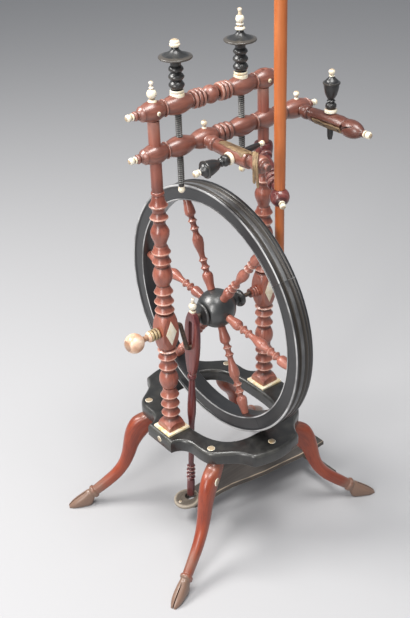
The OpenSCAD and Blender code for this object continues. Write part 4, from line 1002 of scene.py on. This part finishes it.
def split():
    """A cutter for the old split in the right arm, at the outer end of its leather."""
    bm = slab([(101, -7), (107, -4.6), (116, 0.4), (128, 6.6), (114, 2.0), (107, 0.4), (104, 3.0), (101, 0)],
              -20, -8.6, 0)
    bmesh.ops.transform(bm, matrix=turn_z(20) @ turn_y(-90), verts=bm.verts)
    return bm


def arm(side, place, peg_at, seed, finish, *damage):
    hole = drill(4.7, -40, 40, turn_x(90) @ shift(0, peg_at, 0))
    flat = box_cutter((ARM_FLAT, -20, 42), (ARM_FLAT + 30, 20, FLAT_END[side]), LEATHER[side])
    cuts = carve(hole, flat, *damage)
    piece("turned_arm_" + side, [lathe(ARM_OUTLINES[side], place, 64, cuts, seed, shade_inside_cuts=True)], finish,
          "arm_" + side, "arm_" + side)


# Section of a leather band, in shares of its half width and half thickness
BAND = ((1, 0.35), (0.92, 1), (0.4, 1.12), (-0.4, 1.05), (-0.92, 1), (-1, 0.35),
        (-1, -0.35), (-0.92, -1), (-0.4, -1), (0.4, -1), (0.92, -1), (1, -0.35))


def band(points, outs, width, thick, ragged):
    """A strip of leather drawn along points, with rounded edges and an uneven width."""
    rings = []
    count = len(points)
    half = width / 2
    h = thick / 2 * MM
    for i, (p, o) in enumerate(zip(points, outs)):
        t = (points[min(count - 1, i + 1)] - points[max(0, i - 1)]).normalized()
        w = t.cross(o).normalized()
        a = half * (1 + ragged * math.sin(2.3 * i + 0.4)) * MM
        b = half * (1 + ragged * math.sin(1.7 * i + 2.1)) * MM
        rings.append([p * MM + w * (a if x > 0 else b) * x + o * h * y for x, y in BAND])
    return skin(rings)


def draped_strip():
    """The left arm's leather: it lies on the flat and laps over the arm's edge towards the spinner."""
    rings = []
    for k in range(13):
        z = 43 + 4.75 * k
        r = 10 + 2.9 * s_curve(min(1, (z - 34.5) / 49.5))
        edge = math.acos(ARM_FLAT / r)
        lap = math.radians(9 + 2.5 * math.sin(1.9 * k) + 2.6 * max(0, k - 9) ** 2)
        on_flat = [-6.2 + 0.7 * math.sin(2.3 * k), 0, 0.75 * r * math.sin(edge)]
        bends = [edge + lap * i / 3 for i in range(4)]
        outer, inner = ([(flat, y) for y in on_flat] + [(away * math.cos(a), away * math.sin(a)) for a in bends]
                        for flat, away in ((9.5, r + 1.7), (7.5, r + 0.1)))
        rings.append([Vector((x, y, z)) * MM for x, y in outer + inner[::-1]])
    return skin(rings)


# The left strap: angle round the arm, distance out along it and radius, then the points that hang free
STRAP_LAP = [(76, 100.5, 8.7), (76, 105.5, 8.9), (78, 108, 10.6), (83, 110.5, 12.4), (90, 112.8, 13.5),
             (98, 115.4, 13.9), (110, 118.5, 13.9), (125, 121.8, 13.9), (140, 124.6, 13.9), (155, 126.8, 13.9),
             (168, 128, 13.9), (180, 128.6, 13.9)]
STRAP_HANG = [(-13.9, -129, -8), (-13.6, -129.2, -17), (-13.2, -129.4, -27)]


def strand(side, spread, hang):
    """One of the two strands of the left strap."""
    points, outs = [], []
    for k, (angle, away, r) in enumerate(STRAP_LAP):
        o = Vector((math.cos(math.radians(angle)), 0, math.sin(math.radians(angle))))
        points.append(Vector((ARM_LEFT, side * (2.1 + 0.05 * k) - away, MOTHER)) + o * r)
        outs.append(o)
    for x, y, z in STRAP_HANG:
        points.append(Vector((ARM_LEFT + x, y + side * (2.7 + spread * z / STRAP_HANG[-1][2]), MOTHER + z * hang)))
        outs.append(Vector((-1, 0, 0)))
    return mark(band(points, outs, 4.6, 2.2, 0.1), HOME, None, 0.5 * side)


def leathers():
    # A near-black spot where a hole would be: painted shade standing for the hole.
    def painted_hole_shade_at(z):
        return lambda v: -1.0 if abs(v.co.z / MM - z) < 3.2 and abs(v.co.y / MM) < 3.6 else edge_sharpness(v)

    draped = mark(draped_strip(), LEFT_ARM @ LEATHER["left"], painted_hole_shade_at(90), 0.2)
    piece("left_leather", [draped, strand(-1, 0.9, 1.0), strand(1, 1.5, 0.86)], "hide", "arm_left",
          "arm_left_leather", rounds=2, sharp=75)
    points = [Vector((8.7 + 0.3 * math.sin(k * 1.4), 0.6 * math.sin(k * 0.8), 43 + k * 4.8)) for k in range(13)]
    straight = band(points, [Vector((1, 0, 0))] * len(points), 11.6, 2.4, 0.13)
    piece("right_leather", [mark(straight, RIGHT_ARM @ LEATHER["right"], painted_hole_shade_at(96), 0.9)], "hide", "arm_right",
          "arm_right_leather", rounds=2, sharp=75)


def peg(side, place, tail, far_tip):
    a = ARM_R
    outline = ([(3.2, -a - tail), (4.2, -a - tail * 0.6), (4.5, -a - 2), (4.5, a + 6.2), (6.5, a + 6.2)]
               + bead(a + 6.6, a + 14, 5.6, 2.4) + flange(a + 15, a + 20, 4.6, 1.6, 8)
               + bend((4.8, a + 20.6), (8.6, a + 25), (10.8, a + 34), (11.2, a + 42), 14)
               + [(12.4, a + 42.6), (12.5, a + 43.6), (12.2, a + 44.6)]
               + bend((9.8, a + 45.2), (9.4, a + 48), (5, a + 50), (3.4, a + 53), 10))
    piece("urn_peg_" + side, [lathe(outline, place, 56, None, 0.4)], "black", "peg_" + side, "peg_" + side)
    collar = [(8.6, a + 0.3), (9.0, a + 0.8), (9.2, a + 1.5), (9.2, a + 2.6), (8.7, a + 3.0), (9.1, a + 3.4),
              (9.0, a + 4.6), (8, a + 5.9)]
    cap = [(4, a + 53), (4.4, a + 54.2), (3.2, a + 55)] + ball(a + 59, 4.7, a + 56, a + 63.7)
    bits = [lathe(collar, place, 48, carve(drill(4.55, -60, 60))), lathe(cap, place, 40, None, 0.3)]
    if far_tip:
        tip = [(3, 0), (3.4, 1), (2.6, 1.8)] + ball(5.4, 4, 3, 9.4, 10)
        bits.append(lathe(tip, place @ shift(0, 0, -a - tail) @ FLIP_Z, 36))
    piece("peg_bone_" + side, bits, "bone", "peg_" + side, "peg_%s_bone" % side)


# Distaff

def distaff():
    ball_at, root = Vector((*POLE, POLE_BALL)), Vector((UPRIGHT, 0, BRACKET + 10))
    d = ball_at - root
    reach = d.length
    place = shift(*root) @ turn_z(math.degrees(math.atan2(d.y, d.x))) @ turn_y(math.degrees(math.acos(d.z / reach)))
    stem = ([(6, 4), (6.5, 15)] + bead(16, 24, 6.4, 3) + ease(25, 6, 50, 8, 8) + [(6.6, 54)]
            + bead(reach - 57, reach - 49, 7, 3.4) + [(7, reach - 48)] + bead(reach - 47, reach - 38, 7.4, 4)
            + [(7.4, reach - 37)] + bead(reach - 36, reach - 27, 7.6, 4.2)
            + [(7.4, reach - 25), (6.8, reach - 18), (6.2, reach - 13)]
            + ball(reach, 14, reach - 12.6, reach + 12.8, 20) + [(4.6, reach + 14)])
    collar = [(11, 0), (13, 1.4)] + barrel(1.6, 18.4, 13, 14.4, 14) + [(13, 18.6), (11, 20)]
    shaft_hole = carve(drill(SHAFT + SHAFT_ROOM, -5, 30))
    pole_hole = carve(drill(6.9, -40, 40, place.inverted() @ shift(*POLE, POLE_BALL)))
    piece("distaff_bracket", [lathe(collar, shift(UPRIGHT, 0, BRACKET), 64, shaft_hole, 0.3),
                              lathe(stem, place, 64, pole_hole, 0.7)], "footman", "distaff_arm", "distaff_arm")
    piece("distaff_bracket_tip", [lathe(bone_tip(4.4, 4.6), place @ shift(0, 0, reach + 14), 40)], "bone",
          "distaff_arm", "distaff_arm_tip")
    seat = POLE_BALL + 12.8
    pole = ([(5, 480), (6.0, 482), (6.3, 484), (6.7, 500)] + [(6.7, 520 + 16 * k) for k in range(5)]
            + [(6.7, seat), (7.8, seat)] + [(7.8 + 0.004 * rise, seat + rise) for rise in range(25, 176, 25)]
            + [(8.5, 800), (8.5, 860), (8.5, POLE_TOP - 5), (8.0, POLE_TOP - 2.6), (7, POLE_TOP - 1.4),
               (4, POLE_TOP)])
    piece("distaff_staff", [lathe(pole, shift(*POLE, 0), 48)], "pole", "distaff", "distaff_pole")


# Wheel

# Section of the rim: radius and place along the axle
RIM = [(175, -11.5), (175.3, -12.6), (176, -13.3), (177.2, -13.6), (178.2, -13.3), (178.8, -12.7), (194.6, -12.9),
       (195.2, -13.6), (196.2, -14.6), (197.4, -15), (199, -15), (199.7, -14.6), (200, -14), (200, -12.6), (198.5, -12),
       (196.4, -11), (195.6, -10), (195.2, -9), (195.6, -8), (197.2, -6.8), (198.6, -6.2), (199.2, -5.7), (199.4, -5),
       (199.4, -1), (199.2, -0.3), (198.6, 0.2), (197.2, 0.8), (195.6, 2), (195.2, 3), (195.6, 4), (197, 5.4),
       (198.2, 6), (198.8, 6.4), (199, 7), (199, 8.2), (198, 9), (197.2, 9.8), (198, 10.8), (200, 11.8), (200, 14),
       (199.7, 14.6), (199, 15), (197.4, 15), (196.2, 14.6), (195.2, 13.6), (194.6, 12.9), (178.8, 12.7),
       (178.2, 13.3), (177.2, 13.6), (176, 13.3), (175.3, 12.6), (175, 11.5)]
# Lip points of the rim section: they take a pale painted highlight line.
RIM_LIP_HIGHLIGHTS = {(176, 13.3), (177.2, 13.6), (197.4, 15), (199, 15), (199.7, 14.6)}
RIM_PLAIN = 0.05


def rim_wear(r, x):
    """Lips with a painted highlight line, rubbed ridges on the tread, and brown-soiled grooves."""
    if (r, x) in RIM_LIP_HIGHLIGHTS:
        return 0.85
    if r > 198.9 and x < 8:
        return 0.45
    return -0.45 if 194 < r < 198.9 and x < 12.5 else RIM_PLAIN


def felloe(k):
    bm = bmesh.new()
    loop = first_loop(bm, [(x * MM, 0, r * MM) for r, x in RIM])
    grown = swing(bm, loop + loop_edges(bm, loop), (1, 0, 0), math.radians(90 - 2 * JOINT_GAP), 44)
    last = [g for g in grown["geom_last"] if isinstance(g, bmesh.types.BMEdge)]
    bm.faces.new(loop)
    bmesh.ops.contextual_create(bm, geom=last)
    bmesh.ops.recalc_face_normals(bm, faces=bm.faces)
    crests = {(round(r, 2), round(x, 2)): rim_wear(r, abs(x)) for r, x in RIM}

    def crest(v):
        return crests.get((round(math.hypot(v.co.y, v.co.z) / MM, 2), round(v.co.x / MM, 2)), RIM_PLAIN)

    def flow(co):
        return Vector((co.x + 0.05 * k, math.hypot(co.y, co.z), math.atan2(-co.y, co.z) * 0.19 + k))

    place = shift(0, 0, AXLE) @ turn_x(JOINT_PHASE + 90 * k + JOINT_GAP)
    piece("rim_quarter_%d" % (k + 1), [mark(bm, place, crest, 0.0, flow)], "rim", "wheel", "rim_felloe_%d" % (k + 1),
          sharp=36)


def spokes():
    outline = ([(4.5, HUB_R - 9), (4.5, HUB_R - 0.8), (6.2, HUB_R + 0.1)] + ease(34, 6.2, 52, 8.4, 8)
               + [(8.35, 53), (8.0, 54.6), (7, 56.2), (5.8, 57.4), (5, 58)] + flange(60, 70.6, 4.4, 2.9)
               + flange(72, 82.6, 4.4, 2.8) + ease(84, 4.6, 107, 8.4, 12) + ease(109, 8.4, 121, 4.6, 10)
               + flange(122, 132.6, 4.4, 2.9) + flange(134, 144.6, 4.4, 2.9)
               + [(5, 146.6), (5.8, 147.4), (7, 148.4), (8.0, 150), (8.35, 151.4)] + ease(152.4, 8.4, 174, 5.8, 8)
               + [(5.6, RIM_IN - 0.1), (4.5, RIM_IN - 0.1), (4.5, RIM_IN + 9.8)])
    for i in range(6):
        place = shift(0, 0, AXLE) @ turn_x(SPOKE_PHASE + 60 * i)
        piece("turned_spoke_%d" % (i + 1), [lathe(outline, place, 48, None, 0.37 * i, 4.0)], "spoke", "wheel",
              "spoke_%d" % (i + 1))


def hub():
    h = HUB_R
    outline = ([(8, -32), (12, -31.6)] + bead(-31.4, -25.4, 12, 5.8) + [(14.5, -25)] + ball(0, h, -h * 0.8, h * 0.9, 28)
               + [(9.4, h + 1)] + ease(h + 3, 8.8, h + 8, 8.4, 4) + [(10.5, h + 9)] + bead(h + 9.4, h + 19, 10.5, 3.2)
               + [(9, h + 20.5), (6, h + 22)])
    piece("ball_hub", [lathe(outline, shift(0, 0, AXLE) @ turn_y(90), 72, None, 0.2)], "hub", "wheel", "hub")


def crank():
    """The axle and its crank, one iron rod with rounded bends."""
    corners = [Vector((x, 0, z)) for x, z in ((-90, 0), (-70, 0), (PIN_X - 10, -50), (PIN_X + 10, -50), (-36.5, 0),
                                              (94, 0))]
    path = corners[:1]
    for a, b, c in zip(corners, corners[1:], corners[2:]):
        start = b + (a - b).normalized() * 5
        stop = b + (c - b).normalized() * 5
        path += [start.lerp(b, t).lerp(b.lerp(stop, t), t) for t in (i / 6 for i in range(7))]
    path += corners[-1:]
    across = Vector((0, 1, 0))
    rings = []
    for i, p in enumerate(path):
        lift = (path[min(len(path) - 1, i + 1)] - path[max(0, i - 1)]).normalized().cross(across)
        rings.append([(p + (across * math.cos(a) + lift * math.sin(a)) * AXLE_R + Vector((0, 0, AXLE))) * MM
                      for a in (2 * math.pi * j / 16 for j in range(16))])
    piece("crank_and_axle", [mark(skin(rings), HOME, None, 0.1)], "iron", "wheel", "crank_axle", sharp=60)


def axle_bearings():
    bush = ([(9.4, 0), (9.4, 2)] + bead(2.4, 6.4, 7.6, 1.6, 8) + bead(6.8, 10.4, 7, 1.6, 8)
            + [(6.6, 11), (7.4, 13), (7.4, 15.5)])
    piece("axle_bearing", [lathe(bush, shift(UPRIGHT - BLOCK / 2, 0, AXLE) @ turn_y(-90), 48,
                                 carve(drill(AXLE_R + AXLE_ROOM, -5, 30)))], "mahogany", "frame", "axle_bush")
    end = shift(-PIVOT_END, 0, AXLE)
    stem = ([(6.5, 0)] + bead(0.4, 5, 6.5, 2.4, 8) + [(6.8, 5.6)] + bead(6, 10, 6.8, 2.2, 8) + [(7, 10.6)]
            + bead(11, 15, 7, 2, 8) + [(6, 15.4), (6, PIVOT_END - UPRIGHT + BLOCK / 2 + 3)])
    piece("pivot_stem", [lathe(stem, end @ turn_y(90), 48, carve(drill(AXLE_R + AXLE_ROOM, 30, 90)), 0.4)], "stained",
          "pivot", "pivot_screw")
    knob = [(8, 0), (8.4, 1.2), (7.4, 3), (4.6, 5), (4.2, 9), (5, 12)] + ball(27, 15, 13.2, 42, 24)
    piece("pivot_knob", [lathe(knob, end @ turn_y(-90), 56, None, 0.6)], "ball", "pivot", "pivot_ball")


# Footman and treadle

def half_round(x, y, r, start):
    """Points round half a circle about (x, y), from the angle start on."""
    return [(x + r * math.cos(math.radians(a)), y + r * math.sin(math.radians(a)))
            for a in range(start, start + 181, 15)]


def footman():
    lean = 3.4
    end = 42.3 - PIN_Z
    place = shift(PIN_X, 0, PIN_Z) @ turn_y(lean)
    rings = [(34, 41.4, 4.6, 2.7), (41.6, 49, 4.5, 2.9), (49.2, 56.6, 4.5, 2.8), (56.8, 64, 4.4, 2.5)]
    rod = ([(5, end), (6.4, end + 2), (6.4, end + 28), (5.8, end + 33)]
           + [point for z0, z1, r, h in rings for point in flange(end + z0, end + z1, r, h, 12)]
           + [(4.4, end + 67)] + ease(end + 75, 4.6, -150, 4.8, 6) + ease(-148, 4.8, -118, 6.9, 8)
           + ease(-112, 6.9, -62, 5, 10) + bead(-58, -49, 5, 2.2) + [(5.6, -47), (5.6, -44)])
    side = [(6.6, -48)]
    for pull, count in ((((9, -42), (13.4, -24), (15.2, 0)), 12), (((15.8, 16), (15, 34), (13, 43)), 8),
                        (((11, 51), (8, 57), (5.5, 60)), 8)):
        side += bend(side[-1], *pull, count)[1:]
    outline = side + [(-w, z) for w, z in reversed(side)]
    r = AXLE_R + 0.08
    blade = slab(outline, -4.5, 4.5, 2.2, 3, half_round(0, 0, r, 180) + half_round(0, 42, r, 0))
    bmesh.ops.transform(blade, matrix=turn_z(90) @ turn_x(90), verts=blade.verts)
    piece("footman_stick", [lathe(rod, place, 48, None, 0.2, 4.0), mark(blade, place, None, 0.8)], "footman", "footman",
          "footman", sharp=38)
    finial = ([(4.6, 0), (5.2, 1.2), (5.2, 2.6), (3, 4)] + ball(10.5, 6.2, 5.2, 16) + [(2.4, 17.5), (2, 20)]
              + ball(22, 2.6, 20.4, 24.6, 8))
    piece("footman_top", [lathe(finial, place @ shift(0, 0, 60), 40)], "bone", "footman", "footman_finial")


def treadle():
    x, z = TREADLE
    low, top = BOARD
    place = shift(x, 0, z) @ turn_y(-TILT)
    disc_x, hole_x = -(x + 73.6), -(x + 64.9)
    half = [(34, 50), (20, 50), (-20, 48), (-55, 42), (-90, 37), (-120, 30), (-150, 22), (-175, 19.5), (-205, 19.5)]
    half += [(-212 - 24 * math.sin(math.radians(7.5 * i)), 19.5 * math.cos(math.radians(7.5 * i))) for i in range(12)]
    outline = half + [(-236, 0)] + [(a, -b) for a, b in reversed(half)]
    slot = half_round(hole_x + SLOT_HALF, 0, SLOT_R, -90) + half_round(hole_x - SLOT_HALF, 0, SLOT_R, 90)
    board = slab(outline, low, top, 1.8, 3, slot)

    def crest(v):
        flat = abs(v.normal.z)
        return 0.75 if 0.2 < flat < 0.95 else (0.35 if flat < 0.2 else 0.0)

    def flow(co):
        return Vector((co.y, co.z, co.x))

    piece("treadle_plank", [mark(board, place, crest, 0.0, flow)], "worn", "treadle", "treadle_board", sharp=38)
    rings = [(20.5, 0), (21.3, 0.6), (21.5, 1.2), (21.5, 4.2), (21.2, 5.2), (20, 6), (17, 6.0), (16.6, 5.6),
             (16.2, 6.0), (11, 6.0), (10.6, 5.6), (10.2, 6)]
    step = hole_x - disc_x
    cuts = [drill(SLOT_R, -5, 20, shift(step + d, 0, 0)) for d in (-SLOT_HALF, SLOT_HALF)]
    cuts.append(box_cutter((step - SLOT_HALF, -8.58, -5), (step + SLOT_HALF, 8.58, 20)))
    piece("footman_rest_disc", [lathe(rings, place @ shift(disc_x, 0, top), 64, carve(*cuts), 0.3, 2.0)], "disc",
          "treadle", "treadle_disc")
    pin = [(2.6, 0), (2.6, 3.4), (2.2, 4.0), (1.6, 4.4)]
    piece("rest_disc_pin", [lathe(pin, place @ shift(disc_x - 13.5, 0, top + 3), 28)], "bone", "treadle",
          "treadle_pin")
    rod = [(4, -119.5), (4, -101), (6.6, -100.4), (7, -100), (7, 109), (6.6, 109.6), (4, 110), (4, 128)]
    piece("treadle_bar", [lathe(rod, shift(x, 0, z) @ turn_x(90), 40)], "worn", "treadle", "treadle_rod")


table()
for label, sx, sy in (("front_left", -1, -1), ("front_right", 1, -1), ("back_left", -1, 1), ("back_right", 1, 1)):
    leg(label, sx, sy)
upright("left", -1)
upright("right", 1)
top_bar()
lower_bar()
bone_turnings()
tension_screw("left", -1)
tension_screw("right", 1)
arm("left", LEFT_ARM, PEG_LEFT, 0.2, "bar")
arm("right", RIGHT_ARM, PEG_RIGHT, 1.1, "dark", split)
leathers()
peg("left", shift(ARM_LEFT, -PEG_LEFT, MOTHER) @ turn_y(-96), 24, True)
peg("right", shift(ARM_RIGHT, -PEG_RIGHT, MOTHER), 14, False)
distaff()
for quarter in range(4):
    felloe(quarter)
spokes()
hub()
crank()
axle_bearings()
footman()
treadle()


# Floor, light and camera

def stage_and_light():
    floor_finish, _, bsdf = shader("pale_floor")
    bsdf.inputs["Base Color"].default_value = (0.42, 0.42, 0.43, 1)
    bsdf.inputs["Roughness"].default_value = 0.9
    bm = bmesh.new()
    bmesh.ops.create_grid(bm, x_segments=2, y_segments=2, size=20)
    floor = lay_out("floor", bm)
    floor.data.materials.append(floor_finish)

    sky = bpy.data.worlds.new("studio")
    sky.use_nodes = True
    sky.node_tree.nodes["Background"].inputs["Color"].default_value = (0.90, 0.94, 1.0, 1)
    sky.node_tree.nodes["Background"].inputs["Strength"].default_value = 0.34
    bpy.context.scene.world = sky

    def panel(name, place, aim, size, watts, colour=(1, 1, 1)):
        lamp = bpy.data.lights.new(name, "AREA")
        lamp.shape = "RECTANGLE"
        lamp.size, lamp.size_y = size
        lamp.energy = watts
        lamp.color = colour
        thing = bpy.data.objects.new(name, lamp)
        thing.location = place
        thing.rotation_mode = "QUATERNION"
        thing.rotation_quaternion = (Vector(aim) - Vector(place)).to_track_quat("-Z", "Y")
        bpy.context.scene.collection.objects.link(thing)

    panel("window", (-1.15, 0.95, 2.1), (0, 0, 0.45), (1.1, 0.8), 60, (1.0, 0.98, 0.95))
    panel("front_left", (-2.0, -0.8, 1.3), (0, 0, 0.35), (0.5, 1.5), 32, (1.0, 0.98, 0.96))
    panel("overhead", (-0.1, -0.5, 2.5), (0, 0, 0.4), (1.0, 1.0), 45, (1.0, 0.99, 0.97))

    cam = bpy.data.cameras.new("camera")
    cam.lens = 60.35
    cam.sensor_width = 36
    eye = bpy.data.objects.new("camera", cam)
    right, up, back = (Vector(v) for v in ((0.78654, -0.61672, -0.03214), (0.34027, 0.38937, 0.85595),
                                           (-0.51535, -0.68416, 0.51609)))
    seen = Matrix((right, up, back)).transposed().to_4x4()
    seen.translation = (-0.8329, -1.0765, 1.1986)
    eye.matrix_world = seen
    bpy.context.scene.collection.objects.link(eye)
    bpy.context.scene.camera = eye
    bpy.context.scene.view_settings.view_transform = "Standard"


stage_and_light()
